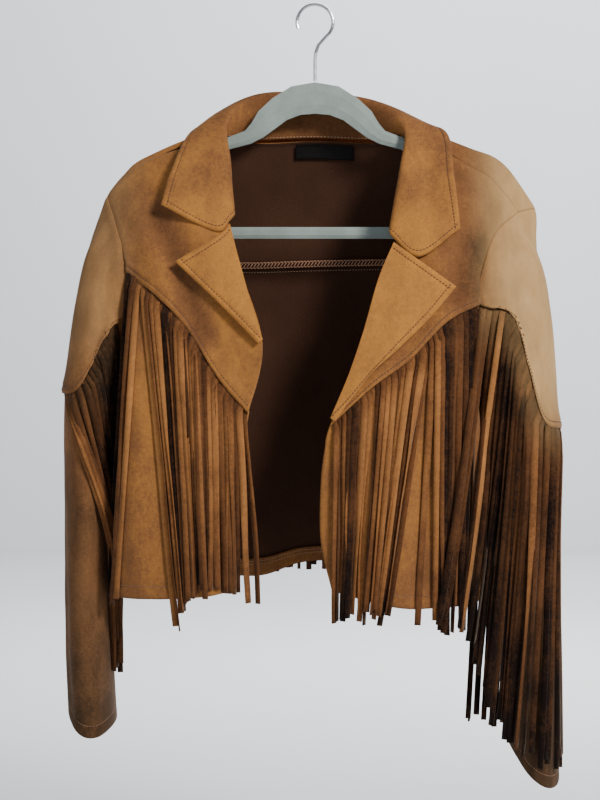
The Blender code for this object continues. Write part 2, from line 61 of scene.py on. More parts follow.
# %% Sizes
MM = 0.001
CLOTH = 1.3          # one layer of suede cloth
TURNED = 2.6         # a turned and stitched edge: collar, lapels, yoke bands
STRIP_WIDTH = 6.9
STRIP_THICK = 1.0
STITCH_IN = 6.5      # topstitching stands this far in from a turned edge
HEM_IN = 13.0        # and this far up from a hem
YOKE_LAP = 3.4       # a yoke's folded edge stands this far off the panel, over the fringe
YOKE_CLOTH = 1.9     # a yoke's cloth with the allowance that is turned behind it
FOLD_SCALE = 34      # size of the small unevenness in every panel
dice = random.Random(41)

# %% [markdown]
# ## A smooth line through a few points
# A pattern maker bends a spline through a few marks. `smooth` does the same: it reads points
# off the curve through the rows of an array, and `smooth_each` does it with a different curve
# for every point of a grid at once.

# %% Smooth curves
def smooth_each(levels, at):
    """levels is (count, ...grid, 3): each grid point's own curve, read at its own place."""
    at = np.clip(at, 0, len(levels) - 1)
    start = np.minimum(at.astype(int), len(levels) - 2)
    slopes = np.gradient(levels, axis=0)

    def pick(values, index):
        return np.take_along_axis(values, index[None, ..., None], axis=0)[0]

    share = (at - start)[..., None]
    square, cube = share ** 2, share ** 3
    return ((2 * cube - 3 * square + 1) * pick(levels, start)
            + (cube - 2 * square + share) * pick(slopes, start)
            + (3 * square - 2 * cube) * pick(levels, start + 1)
            + (cube - square) * pick(slopes, start + 1))


def smooth(points, at):
    points = np.asarray(points, float)
    at = np.asarray(at, float)
    wide = points.reshape(len(points), -1)
    levels = np.broadcast_to(wide[:, None, :], (len(points), at.size, wide.shape[1]))
    found = smooth_each(levels, at.ravel())
    return found.reshape(at.shape + points.shape[1:])


def walked_along(points):
    """How far along a line of points each point is."""
    return np.concatenate([[0], np.cumsum(np.linalg.norm(np.diff(points, axis=0), axis=1))])


def smoothstep(value):
    value = np.clip(value, 0, 1)
    return value * value * (3 - 2 * value)


# %% [markdown]
# ## The pattern
# These are the garment's own sections. Fronts run from the free edge (the roll line of the
# lapel, then the front edge) out to the armhole and side seam. The back runs from side to side
# and wraps a little over the front at the shoulders. Sleeves are rings below the armhole.

# %% The fronts
FRONT_RIGHT = {
    "shoulder": [(-109, -4, -137), (-138, -5, -149), (-176, -5, -163), (-198, -5, -180), (-215, -5, -199)],
    "chest": [(-97, -33, -192), (-120, -38, -198), (-155, -38, -208), (-184, -33, -219), (-204, -22, -227)],
    "bust": [(-80, -59, -266), (-108, -58, -264), (-144, -54, -260), (-174, -48, -256), (-197, -38, -250)],
    "roll_end": [(-53, -79, -352), (-84, -73, -340), (-121, -66, -306), (-158, -56, -282), (-194, -43, -266)],
    "yoke_seam": [(-66, -80, -422), (-96, -74, -388), (-131, -66, -335), (-163, -56, -300),
                  (-192, -45, -279)],
    "under": [(-71, -80, -448), (-101, -79, -424), (-143, -72, -382), (-187, -52, -340), (-192, -30, -336)],
    "armpit": [(-77, -78, -480), (-108, -81, -464), (-152, -74, -438), (-193, -52, -408), (-187, -6, -398)],
    "waist": [(-84, -74, -540), (-112, -79, -535), (-156, -73, -526), (-202, -51, -512), (-186, -6, -500)],
    "hem": [(-80, -71, -600), (-113, -77, -606), (-158, -70, -609), (-206, -48, -607), (-188, -6, -594)],
}
FRONT_LEFT = {
    "shoulder": [(106, -8, -139), (131, -10, -152), (156, -11, -166), (183, -12, -183), (209, -15, -216)],
    "chest": [(97, -33, -196), (114, -38, -202), (141, -39, -211), (164, -37, -224), (183, -33, -240)],
    "bust": [(77, -56, -264), (98, -57, -265), (124, -55, -268), (147, -51, -273), (169, -45, -279)],
    "roll_end": [(43, -74, -357), (72, -71, -335), (100, -65, -318), (132, -58, -304), (166, -48, -297)],
    "yoke_seam": [(14, -80, -435), (57, -76, -396), (95, -69, -368), (131, -62, -331), (166, -50, -311)],
    "under": [(9, -80, -458), (54, -80, -428), (99, -74, -400), (146, -61, -366), (163, -30, -348)],
    "armpit": [(5, -79, -492), (53, -83, -474), (104, -78, -450), (160, -56, -420), (160, -6, -402)],
    "waist": [(5, -76, -550), (56, -83, -543), (108, -79, -530), (168, -52, -515), (162, -6, -505)],
    "hem": [(16, -75, -600), (60, -81, -612), (104, -78, -618), (165, -48, -613), (161, -6, -597)],
}
FRONT_YOKE_ROW = 4
FRONT_UNDERARM_ROW = 6

# %% The back
BACK = {
    "seam": [(-215, -5, -199), (-198, -5, -180), (-176, -5, -163), (-109, -4, -136), (-60, 24, -139),
        (0, 31, -136), (60, 24, -139), (104, -7, -136.5), (156, -11, -166), (183, -12, -183),
        (209, -15, -216)],
    "ridge": [(-214, 4, -201), (-197, 5, -180), (-175, 5, -163), (-109, 6, -139), (-61, 31, -150),
        (0, 38, -148), (61, 31, -150), (106, 3, -137.5), (162, 2, -152), (195, 1, -167), (228, 0, -213)],
    "blade": [(-206, 22, -232), (-189, 30, -222), (-168, 38, -213), (-112, 46, -202), (-60, 51, -201),
        (0, 53, -200), (60, 50, -200), (110, 45, -201), (160, 36, -208), (186, 27, -219), (203, 18, -239)],
    "yoke_seam": [(-195, 29, -269), (-182, 37, -268), (-160, 45, -267), (-110, 51, -266), (-60, 54, -266),
        (0, 55, -264), (58, 53, -263), (105, 48, -263), (147, 39, -265), (165, 32, -267), (178, 24, -269)],
    "shoulder_blade": [(-190, 24, -335), (-180, 36, -335), (-158, 44, -334), (-110, 51, -333),
        (-60, 55, -333), (0, 56, -332), (56, 53, -331), (102, 47, -331), (140, 38, -333), (158, 30, -335),
        (167, 20, -336)],
    "armpit": [(-187, -3, -398), (-182, 26, -400), (-160, 41, -401), (-110, 51, -402), (-60, 55, -401),
        (0, 56, -400), (56, 53, -400), (102, 47, -400), (138, 36, -401), (156, 22, -402), (161, -3, -402)],
    "waist": [(-186, -3, -500), (-181, 26, -501), (-160, 40, -502), (-112, 51, -503), (-60, 56, -502),
        (-2, 54, -500), (52, 54, -500), (102, 47, -501), (138, 35, -503), (156, 21, -505), (162, -3, -505)],
    "hem": [(-188, -3, -594), (-182, 25, -595), (-160, 39, -596), (-112, 50, -595), (-58, 57, -598),
        (-12, 51, -583), (44, 55, -582), (100, 48, -588), (138, 35, -592), (156, 20, -595),
        (161, -3, -597)],
}
BACK_YOKE_ROW = 3
BACK_UNDERARM_ROW = 5

# %% The sleeves
SLEEVE_RIGHT = {
    "upper_arm": [(-238, 0, -270), (-213, -46, -322), (-199, -5, -412), (-212, 41, -326)],
    "yoke_seam": [(-257, 0, -388), (-229, -52, -402), (-203, -3, -440), (-228, 48, -408)],
    "elbow": [(-258, 0, -520), (-233, -54, -525), (-208, -2, -535), (-232, 50, -530)],
    "forearm": [(-257, 0, -660), (-233, -52, -664), (-208, -2, -668), (-232, 48, -665)],
    "cuff": [(-254, 0, -732), (-230, -47, -752), (-204, -2, -742), (-229, 43, -744)],
}
SLEEVE_LEFT = {
    "upper_arm": [(236, 0, -280), (203, -50, -325), (174, -8, -415), (199, 36, -332)],
    "yoke_seam": [(250, -2, -432), (216, -58, -436), (178, -6, -462), (214, 46, -442)],
    "elbow": [(248, -2, -560), (217, -57, -564), (184, -4, -570), (216, 48, -568)],
    "forearm": [(250, -1, -690), (221, -55, -692), (189, -4, -684), (220, 46, -692)],
    "cuff": [(252, 0, -802), (223, -50, -797), (196, -4, -760), (225, 42, -790)],
}
SLEEVE_SEAM = {"right": 2.03, "left": 1.97}
SLEEVE_SEAM_POWER = {"right": 7.0, "left": 10.0}   # how square the seam turns in front
SLEEVE_SEAM_BEHIND = 1.7
SLEEVE_SEAM_LEAST = 0.02
SLEEVE_MEETS = {"right": 4.8, "left": 4.15}   # section of the front at which the sleeve's seam ends
SLEEVE_FULLNESS = 6.0

# %% The collar and lapels
COLLAR = {
    "neck_seam": [(-84, -41, -224), (-92, -24, -180), (-102, -6, -138), (-62, 21, -136), (0, 28, -133),
                  (62, 21, -136), (99, -6, -135.5), (91, -26, -184), (76, -46, -240)],
    "stand": [(-84, -45, -223), (-89, -28, -172), (-95, -8, -128), (-61, 17, -110), (0, 23, -108),
              (61, 17, -113), (94, -8, -131), (89, -29, -175), (76, -49, -240)],
    "roll": [(-87, -50, -229), (-91, -36, -172), (-93, -6, -120), (-63, 16, -92), (0, 22, -89.5),
             (62, 16, -98), (96, -5, -124), (91, -38, -177), (79, -54, -247)],
    "fall": [(-101, -55, -240), (-117, -41, -180), (-110, -1, -121), (-73, 33, -101), (0, 38, -98),
             (73, 33, -107), (113, -1, -126), (116, -42, -190), (104, -61, -266)],
    "edge": [(-156, -55, -213), (-147, -41, -178), (-127, 2, -132), (-82, 46, -138), (0, 52, -142),
             (84, 46, -143), (134, 2, -130), (141, -47, -186), (146, -55, -237)],
}
LAPEL_RIGHT = {
    "gorge": [(-87, -53, -232), (-100, -62, -246), (-141, -66, -271)],
    "upper": [(-78, -64, -265), (-96, -70, -283), (-121, -71, -290)],
    "lower": [(-66, -75, -308), (-77, -79, -317), (-89, -79, -321)],
    "foot": [(-53, -84, -350), (-55, -85, -352), (-57, -85, -354)],
}
LAPEL_LEFT = {
    "gorge": [(79, -58, -251), (104, -67, -270), (141, -66, -296)],
    "upper": [(63, -68, -288), (88, -74, -311), (114, -73, -328)],
    "lower": [(48, -77, -340), (64, -82, -359), (80, -81, -361)],
    "low": [(33, -82, -385), (42, -85, -392), (51, -84, -388)],
    "foot": [(15, -84.5, -428), (17, -85.5, -430), (19, -85.5, -431)],
}

# %% [markdown]
# ## Surfaces through the tables
# `Loft` reads a table as one surface, across from 0 to 1 and down in rows. A sleeve starts at
# the armhole, so its first ring is the very edge of the front and the back, measured along its
# length: that way the two sides of the seam always meet.

# %% Lofts
class Loft:
    def __init__(self, sections):
        self.net = np.array(list(sections.values()), float)
        self.last_row = len(self.net) - 1

    def at(self, across, down):
        across, down = np.broadcast_arrays(np.asarray(across, float), np.asarray(down, float))
        columns = self.net.shape[1]
        rows = smooth(self.net, down)
        return smooth_each(np.moveaxis(rows, -2, 0), across * (columns - 1))


class Sleeve:
    def __init__(self, side, table, front, back):
        self.side = side
        self.rings = np.array(list(table.values()), float)
        self.last_ring = len(self.rings)
        self.front_edge = self.edge(front, 1.0, FRONT_UNDERARM_ROW)
        self.back_edge = self.edge(back, 0.0 if side == "right" else 1.0, BACK_UNDERARM_ROW)
        self.meets_front, self.meets_back = (
            math.pi * float(np.interp(row, edge[2], edge[1]))
            for row, edge in ((SLEEVE_MEETS[side], self.front_edge), (BACK_YOKE_ROW, self.back_edge)))

    @staticmethod
    def edge(surface, across, last_row, samples=60):
        rows = np.linspace(0, last_row, samples)
        points = surface.at(np.full(samples, across), rows)
        walked = walked_along(points)
        return points, walked / walked[-1], rows

    def armhole(self, angle):
        turn = np.mod(angle + math.pi, 2 * math.pi) - math.pi
        share = np.abs(turn) / math.pi
        found = [np.stack([np.interp(share, edge[1], edge[0][:, axis]) for axis in range(3)], axis=-1)
                 for edge in (self.front_edge, self.back_edge)]
        return np.where((turn >= 0)[..., None], found[0], found[1])

    def at(self, angle, down):
        angle, down = np.broadcast_arrays(np.asarray(angle, float), np.asarray(down, float))
        outer, front, inner, back = (self.rings[:, column] for column in range(4))
        middle, other = (outer + inner) / 2, (front + back) / 2
        cosine, sine = np.cos(angle)[..., None], np.sin(angle)[..., None]
        levels = [self.armhole(angle)]
        for ring in range(len(self.rings)):
            levels.append(middle[ring] + cosine * (outer - inner)[ring] / 2
                          + sine * (front - back)[ring] / 2 + sine ** 2 * (other - middle)[ring])
        found = smooth_each(np.array(levels), down)
        fullness = 0.5 * smoothstep(down / 0.15) + np.sin(math.pi * np.clip(down, 0, 1))
        fullness *= (1 - np.cos(angle)) / 2
        found[..., 0] += math.copysign(SLEEVE_FULLNESS, outer[0, 0]) * fullness
        return found

    def seam(self, angle):
        turn = np.mod(np.asarray(angle, float) + math.pi, 2 * math.pi) - math.pi
        meet = np.where(turn >= 0, self.meets_front, self.meets_back)
        share = np.clip(np.abs(turn) / meet, 0, 1)
        power = np.where(turn >= 0, SLEEVE_SEAM_POWER[self.side], SLEEVE_SEAM_BEHIND)
        return SLEEVE_SEAM_LEAST + SLEEVE_SEAM[self.side] * (1 - share ** power)


front_of = {"right": Loft(FRONT_RIGHT), "left": Loft(FRONT_LEFT)}
back_loft = Loft(BACK)
sleeve_of = {"right": Sleeve("right", SLEEVE_RIGHT, front_of["right"], back_loft),
             "left": Sleeve("left", SLEEVE_LEFT, front_of["left"], back_loft)}
collar_loft = Loft(COLLAR)
lapel_of = {"right": Loft(LAPEL_RIGHT), "left": Loft(LAPEL_LEFT)}
print("sleeve seam meets the armhole at", round(math.degrees(sleeve_of["left"].meets_front)), "degrees")

# %% [markdown]
# ## Folds
# Suede cloth is soft but springy, so it folds in broad, shallow waves with a few sharper
# creases where it is drawn to a seam. Each fold is one row: where it starts, where it ends,
# how deep it is (minus is a trough) and how wide. They are pressed in along the cloth's own
# normal, strongest mid way and fading at both ends, and no two are alike.

# %% Folds, in millimetres
FOLDS = (
    # start, end, depth, width
    ((-158, -38, -222), (-112, -70, -345), -5.0, 13),
    ((-182, -30, -215), (-150, -58, -300), 3.5, 12),
    ((-128, -40, -200), (-98, -68, -300), 2.8, 14),
    ((-196, -38, -250), (-176, -54, -300), -3.0, 8),
    ((-207, -14, -214), (-188, -44, -268), 2.5, 9),
    ((183, -12, -204), (161, -46, -262), -5.0, 12),
    ((161, -46, -262), (138, -60, -305), -3.5, 11),
    ((196, -14, -205), (178, -38, -250), 3.0, 9),
    ((150, -30, -200), (118, -58, -300), 3.0, 14),
    ((169, -45, -262), (168, -50, -300), -2.2, 4.5),
    ((176, -36, -252), (174, -44, -296), 2.0, 5),
    ((120, -38, -200), (84, -66, -330), -2.4, 13),
    # lower fronts: long soft flutes
    ((-160, -68, -340), (-140, -76, -606), -4.0, 13),
    ((-182, -60, -330), (-180, -66, -608), 4.5, 14),
    ((-120, -74, -400), (-104, -78, -604), 3.5, 14),
    ((-200, -45, -400), (-205, -40, -607), -2.5, 9),
    ((-92, -78, -440), (-90, -75, -600), -2.5, 9),
    ((36, -80, -450), (42, -80, -604), -4.0, 12),
    ((66, -78, -420), (76, -81, -614), 4.0, 13),
    ((104, -72, -390), (112, -77, -616), -4.5, 13),
    ((134, -64, -360), (142, -66, -616), 4.0, 13),
    # sleeves
    ((214, -22, -236), (224, -28, -350), 4.0, 9),
    ((196, -36, -262), (206, -52, -372), -3.2, 8),
    ((232, 4, -240), (242, 6, -400), -2.5, 10),
    ((-224, -18, -232), (-240, -24, -350), 3.4, 9),
    ((-208, -38, -262), (-222, -50, -372), -3.2, 8),
    ((-232, 14, -240), (-248, 20, -390), -2.5, 11),
    ((-240, -48, -430), (-226, -56, -600), 2.6, 9),
    ((-216, -46, -470), (-222, -50, -700), -2.4, 8),
    ((-252, -24, -520), (-246, -34, -730), -2.6, 9),
    ((-228, -52, -640), (-218, -48, -752), 2.6, 9),
    ((-254, 24, -450), (-250, 26, -720), 2.6, 11),
    ((-226, 48, -430), (-232, 48, -700), -3.2, 10),
    ((236, -44, -470), (232, -44, -720), -3.0, 10),
    ((214, -58, -500), (222, -56, -790), 3.2, 10),
    ((246, 22, -470), (246, 24, -780), -3.0, 10),
    ((222, 46, -480), (226, 44, -760), 3.0, 10),
    ((200, -48, -600), (208, -44, -770), -2.4, 8),
    # back
    ((-150, 42, -290), (-138, 46, -594), 4.0, 16),
    ((-104, 52, -280), (-92, 52, -596), -4.0, 16),
    ((-40, 56, -300), (-52, 57, -598), 2.6, 16),
    ((30, 55, -300), (10, 52, -583), -4.0, 16),
    ((92, 50, -280), (78, 52, -586), 3.5, 15),
    ((136, 38, -300), (124, 40, -590), -3.5, 13),
    ((-170, 34, -215), (-120, 48, -262), -2.6, 13),
    ((168, 30, -215), (112, 47, -262), -2.6, 13),
)


def near_line(points, start, end):
    """Where along a line each point is, from 0 to 1, and how far it is from there."""
    start, line = np.array(start, float), np.subtract(end, start)
    held = np.clip(((points - start) @ line) / (line @ line), 0, 1)
    return held, np.linalg.norm(points - (start + held[..., None] * line), axis=-1)


def pressed_in(points):
    """How far the folds move each point along the cloth's normal."""
    moved = np.zeros(points.shape[:-1])
    for start, end, depth, width in FOLDS:
        held, away = near_line(points, start, end)
        strength = 0.35 + 0.65 * np.sin(math.pi * np.clip(held, 0.02, 0.98)) ** 0.7
        moved += depth * strength * np.exp(-(away / width) ** 2)
    return moved


def ripple(points, height, scale, seed):
    """Small unevenness that keeps a broad panel from looking moulded."""
    flat = points.reshape(-1, 3)
    shift = Vector((seed * 7.3, seed * 3.1, seed * 1.7))
    found = [noise.noise(Vector(point) / scale + shift) for point in flat]
    return height * np.array(found).reshape(points.shape[:-1])


# %% [markdown]
# ## Laying a closed shell of cloth
# A piece of cloth is a grid of points. Its outer face stands one thickness above its inner
# face, a rim closes all four sides, and the two faces take different finishes because suede is
# brushed on one side only. Turned edges are thicker and rounded, and a seam draws the cloth down.

# %% Shells
def grid_normals(points, ring=False):
    if ring:
        around = np.roll(points, -1, axis=1) - np.roll(points, 1, axis=1)
    else:
        around = np.gradient(points, axis=1)
    found = np.cross(around, np.gradient(points, axis=0))
    return found / np.maximum(np.linalg.norm(found, axis=-1, keepdims=True), 1e-9)


def lengths_from_edges(points):
    """How far each grid point is from the top, bottom, first and last edge, along the cloth."""
    down = np.concatenate([np.zeros((1,) + points.shape[1:2]),
                           np.cumsum(np.linalg.norm(np.diff(points, axis=0), axis=-1), axis=0)])
    across = np.concatenate([np.zeros(points.shape[:1] + (1,)),
                             np.cumsum(np.linalg.norm(np.diff(points, axis=1), axis=-1), axis=1)], axis=1)
    return {"top": down, "bottom": down[-1:] - down, "first": across, "last": across[:, -1:] - across}


def shell_faces(rows, columns, ring):
    far = rows * columns
    last = columns if ring else columns - 1
    row, column = np.meshgrid(np.arange(rows - 1), np.arange(last), indexing="ij")
    row, column = row.ravel(), column.ravel()
    beside = (column + 1) % columns
    outer = far + np.stack([row * columns + column, row * columns + beside,
                            (row + 1) * columns + beside, (row + 1) * columns + column], axis=1)
    inner = (outer - far)[:, ::-1]
    column = np.arange(last)
    beside = (column + 1) % columns
    base = (rows - 1) * columns
    rims = [np.stack([beside, column, far + column, far + beside], axis=1)[:, ::-1],
            np.stack([base + beside, base + column, far + base + column, far + base + beside], axis=1)]
    if not ring:
        row = np.arange(rows - 1) * columns
        rims.append(np.stack([row, row + columns, far + row + columns, far + row], axis=1)[:, ::-1])
        row = row + columns - 1
        rims.append(np.stack([row, row + columns, far + row + columns, far + row], axis=1))
    rims = np.concatenate(rims)
    return np.concatenate([outer, rims, inner]), len(outer) + len(rims)


def add_object(name, data):
    made = bpy.data.objects.new(name, data)
    bpy.context.scene.collection.objects.link(made)
    return made


def mesh_piece(name, points, faces, materials, second_from=None, tones=None, fade_and_sheen_values=None):
    """A mesh with the finishes given. The second finish starts at the face numbered second_from."""
    name += "_cloth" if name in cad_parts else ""
    mesh = bpy.data.meshes.new(name)
    mesh.from_pydata((np.asarray(points) * MM).tolist(), [], [list(map(int, face)) for face in faces])
    mesh.update()
    for finish in materials:
        mesh.materials.append(finish)
    if second_from is not None:
        index = np.zeros(len(mesh.polygons), np.int32)
        index[second_from:] = 1
        mesh.polygons.foreach_set("material_index", index)
    mesh.polygons.foreach_set("use_smooth", np.ones(len(mesh.polygons), bool))
    for kind, values in (("tone", tones), ("fade_and_painted_sheen", fade_and_sheen_values)):
        if values is not None:
            layer = mesh.attributes.new(kind, "FLOAT", "POINT")
            layer.data.foreach_set("value", np.asarray(values, np.float32))
    piece = add_object(name, mesh)
    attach(piece, "root")
    return piece


def facing_out(points, faces):
    """True when the closed mesh's faces point outwards."""
    corners = points[np.asarray(faces)[:, :3]]
    extra = points[np.asarray(faces)[:, [0, 2, 3]]]
    return sum(np.einsum("ij,ij->i", part[:, 0], np.cross(part[:, 1], part[:, 2])).sum()
               for part in (corners, extra)) > 0


panels = {}


def cloth_piece(name, points, turn, materials, thick=CLOTH, off=0.0, ring=False, turned=(), drawn=(),
                stitched=(), stitched_wide=(), tone=None, folds=1.0, waves=0.5, seed=1, lap=0.0):
    """A closed shell on a grid of points. turned, drawn and stitched name the edges so made.

    lap lifts the bottom edge, so that it lies over what is sewn under it. panels keeps the piece with
    its outer face, the way that face looks, and its inner face.
    """
    facing = grid_normals(points, ring) * turn
    moved = pressed_in(points) * folds + ripple(points, waves, FOLD_SCALE, seed) + off
    points = points + facing * moved[..., None]
    facing = grid_normals(points, ring) * turn
    edges = lengths_from_edges(points)
    height = np.full(points.shape[:2], float(thick))
    for edge in turned:
        height *= 0.35 + 0.65 * np.sqrt(np.clip(edges[edge] / 3.0, 0, 1))
    for edges_of_line, inset in ((stitched, STITCH_IN), (stitched_wide, HEM_IN)):
        for edge in edges_of_line:
            height -= 0.6 * np.exp(-((edges[edge] - inset) / 1.3) ** 2)
    sunk = lap * np.exp(-(edges["bottom"] / 16.0) ** 2)
    for edge in drawn:
        sunk -= 0.9 * np.exp(-(edges[edge] / 3.0) ** 2)
    inner = points + facing * sunk[..., None]
    outer = points + facing * (sunk + height)[..., None]
    rows, columns = points.shape[:2]
    faces, second = shell_faces(rows, columns, ring)
    both = np.concatenate([inner.reshape(-1, 3), outer.reshape(-1, 3)])
    if not facing_out(both, faces):
        faces = faces[:, ::-1]
    tones = fade_and_sheen_values = None
    if tone is not None:
        tones, fade_and_sheen_values = (np.tile(values(points).ravel(), 2) for values in (tone, fade_and_sheen))
    piece = mesh_piece(name, both, faces, materials, second, tones, fade_and_sheen_values)
    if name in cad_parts:
        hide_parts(name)
    panels[name] = piece, outer, facing, inner


# %% [markdown]
# ## Finishes
# Suede is cloth brushed to a short nap. It has almost no shine face on, a soft bloom at
# grazing angles, a fine felted grain, and blotches where a hand has brushed the nap one way or
# the other. The wrong side is a dark, flat knit. Colour and grain come from noise in the
# object's own space. Two attributes steer them: tone says how dark each place is, as painted
# light and shade and as the cloth's own tone, and fade how far it has gone toward khaki, partly
# worn and partly a painted sheen.

# %% Finishes as short words
class Finish:
    """A material under way: each method adds a node and gives back what comes out of it."""

    def __init__(self, name, roughness, sheen=0.0, sheen_rough=0.5, tint=(1, 1, 1, 1), metallic=0.0,
                 specular=0.5):
        self.made = bpy.data.materials.new(name)
        self.made.use_nodes = True
        self.tree = self.made.node_tree
        self.shader = self.tree.nodes["Principled BSDF"].inputs
        for kind, value in (("Roughness", roughness), ("Metallic", metallic),
                            ("Specular IOR Level", specular), ("Sheen Weight", sheen),
                            ("Sheen Roughness", sheen_rough), ("Sheen Tint", tint)):
            self.shader[kind].default_value = value
        self.place = self.node("TexCoord").outputs["Object"]

    def node(self, kind, **settings):
        made = self.tree.nodes.new("ShaderNode" + kind)
        for name, value in settings.items():
            if name in made.inputs:
                made.inputs[name].default_value = value
            else:
                setattr(made, name, value)
        return made

    def put(self, value, socket):
        """Sets a socket to a number or a colour, or links it to another node."""
        if isinstance(value, (int, float)):
            socket.default_value = value
        elif isinstance(value, tuple):
            socket.default_value = value if len(value) == 4 else (*value, 1)
        else:
            self.tree.links.new(value, socket)

    def attribute(self, name):
        return self.node("Attribute", attribute_name=name).outputs["Fac"]

    def noise(self, scale, detail=3.0, rough=0.55, stretch=None):
        place = self.place
        if stretch is not None:
            mapping = self.node("Mapping", Scale=stretch)
            self.put(place, mapping.inputs["Vector"])
            place = mapping.outputs["Vector"]
        made = self.node("TexNoise", Scale=scale, Detail=detail, Roughness=rough)
        self.put(place, made.inputs["Vector"])
        return made.outputs["Fac"]

    def ramp(self, value, *stops):
        made = self.node("ValToRGB")
        elements = made.color_ramp.elements
        while len(elements) < len(stops):
            elements.new(0.5)
        for element, (place, colour) in zip(elements, stops):
            element.position, element.color = place, (*colour, 1)
        self.put(value, made.inputs["Fac"])
        return made.outputs["Color"]

    def mix(self, kind, fac, first, second):
        made = self.node("Mix", data_type="RGBA", blend_type=kind)
        for index, value in ((0, fac), (6, first), (7, second)):
            self.put(value, made.inputs[index])
        return made.outputs[2]

    def maths(self, kind, first, second):
        made = self.node("Math", operation=kind)
        self.put(first, made.inputs[0])
        self.put(second, made.inputs[1])
        return made.outputs[0]

    def blend(self, first, first_share, second, second_share):
        return self.maths("ADD", self.maths("MULTIPLY", first, first_share),
                          self.maths("MULTIPLY", second, second_share))

    def bump(self, height, strength, distance):
        made = self.node("Bump", Strength=strength, Distance=distance)
        self.put(height, made.inputs["Height"])
        self.put(made.outputs["Normal"], self.shader["Normal"])

    def colour(self, value):
        self.put(value, self.shader["Base Color"])


# %% Suede, right side
def suede(name, deep, mid, bright):
    """deep, mid and bright are the colours from the deepest painted shade to the lightest nap in painted
    light.
    """
    nap = Finish(name, 0.92, sheen=0.14, sheen_rough=0.4, tint=(1.0, 0.8, 0.62, 1), specular=0.12)
    # painted light and shade: the tone attribute carries them into the colour ramp, with the nap's own
    # blotches, streaks and grain added
    painted_light_and_nap = nap.attribute("tone")
    blotch = nap.noise(26, 4, 0.6)
    streak = nap.noise(60, 5, 0.62, stretch=(1.0, 1.0, 0.35))
    tuft = nap.noise(240, 3, 0.7)
    grain = nap.noise(620, 3, 0.7)
    speck = nap.noise(1700, 2, 0.6)
    for texture, share in ((blotch, 0.42), (streak, 0.34), (grain, 0.40), (tuft, 0.38)):
        swing = nap.maths("MULTIPLY", nap.maths("SUBTRACT", texture, 0.5), share)
        painted_light_and_nap = nap.maths("ADD", painted_light_and_nap, swing)
    colour = nap.ramp(painted_light_and_nap, (0.0, deep), (0.5, mid), (1.0, bright))
    specks = nap.ramp(speck, (0.3, (0.62, 0.6, 0.58)), (0.7, (1.0, 1.0, 1.0)))
    colour = nap.mix("MULTIPLY", 0.5, colour, specks)
    # partly wear and partly a painted sheen: a khaki colour mixed in where the fade attribute is high
    patchy = nap.maths("ADD", nap.maths("MULTIPLY", blotch, 0.5), 0.75)
    patchy = nap.maths("MULTIPLY", nap.attribute("fade_and_painted_sheen"), patchy)
    worn_and_sheen_colour = nap.ramp(streak, (0.25, (0.46, 0.28, 0.115)), (0.75, (0.64, 0.41, 0.185)))
    nap.colour(nap.mix("MIX", nap.maths("MINIMUM", patchy, 0.96), colour, worn_and_sheen_colour))
    nap.bump(nap.blend(grain, 0.7, speck, 0.4), 0.35, 0.0006)
    return nap.made


suede_face = suede("suede_nap", (0.036, 0.017, 0.011), (0.245, 0.105, 0.040), (0.64, 0.275, 0.055))
suede_strip = suede("suede_strip_nap", (0.010, 0.005, 0.004), (0.175, 0.070, 0.026), (0.52, 0.225, 0.070))


# %% Suede, wrong side
def wrong_side(name, dark, light):
    back = Finish(name, 0.95, sheen=0.15, tint=(0.9, 0.7, 0.6, 1), specular=0.15)
    knit = back.noise(900, 2, 0.5, stretch=(1.0, 1.0, 0.5))
    cloud = back.noise(18, 3, 0.5)
    back.colour(back.ramp(back.blend(knit, 0.5, cloud, 0.5), (0.3, dark), (0.75, light)))
    back.bump(knit, 0.3, 0.0004)
    return back.made


suede_back = wrong_side("suede_wrong_side", (0.042, 0.018, 0.010), (0.074, 0.032, 0.018))
CLOTH_FINISH = (suede_face, suede_back)


# %% [markdown]
# ## Tone
# Brushed suede is brightest where it is handled and in painted light, on the lapels and collar,
# greyer over the shoulders, partly worn and partly a painted sheen, and darker down the sleeves
# and, in painted shade, toward the sides and along the creases.

# %% Tone over the garment
def span(value, low, high):
    return smoothstep((value - low) / (high - low))


PAINTED_CREASE_SHADE = (
    # start and end of a crease where painted shade darkens the tone, its width, how dark
    ((-158, -38, -222), (-112, -70, -345), 15, 0.34),
    ((183, -12, -204), (146, -56, -305), 13, 0.20),
    ((-204, -20, -232), (-192, -45, -279), 9, 0.18),
    ((172, -40, -250), (166, -50, -305), 9, 0.20),
)


def crease_shade(points):
    # painted shade along each crease
    dark = np.zeros(points.shape[:-1])
    for start, end, width, amount in PAINTED_CREASE_SHADE:
        dark += amount * np.exp(-(near_line(points, start, end)[1] / width) ** 2)
    return dark


def body_tone(points):
    x, z = points[..., 0], points[..., 2]
    centre = np.abs(x + 15)
    # painted shade darkens the tone toward the sides, toward the hem and along the creases; it is a little
    # lighter toward the wearer's right
    tone = 0.64 - 0.0004 * x - 0.22 * span(centre, 100, 210) - 0.08 * span(-z, 420, 620) - crease_shade(points)
    return np.clip(tone + ripple(points, 0.08, 55, 3), 0, 1)


def sleeve_tone(points):
    z = points[..., 2]
    # darker down the sleeve toward the cuff, partly painted shade
    tone = 0.52 - 0.30 * span(-z, 370, 590) - 0.22 * span(-z, 620, 750)
    return np.clip(tone + ripple(points, 0.08, 60, 5), 0, 1)


def lapel_tone(points):
    # brightest on the lapels, partly painted light, and darker up the collar and toward its back, partly
    # painted shade
    tone = 0.79 - 0.20 * span(points[..., 2], -250, -190) - 0.22 * span(points[..., 1], 0, 22)
    return np.clip(tone + ripple(points, 0.12, 40, 8), 0, 1)


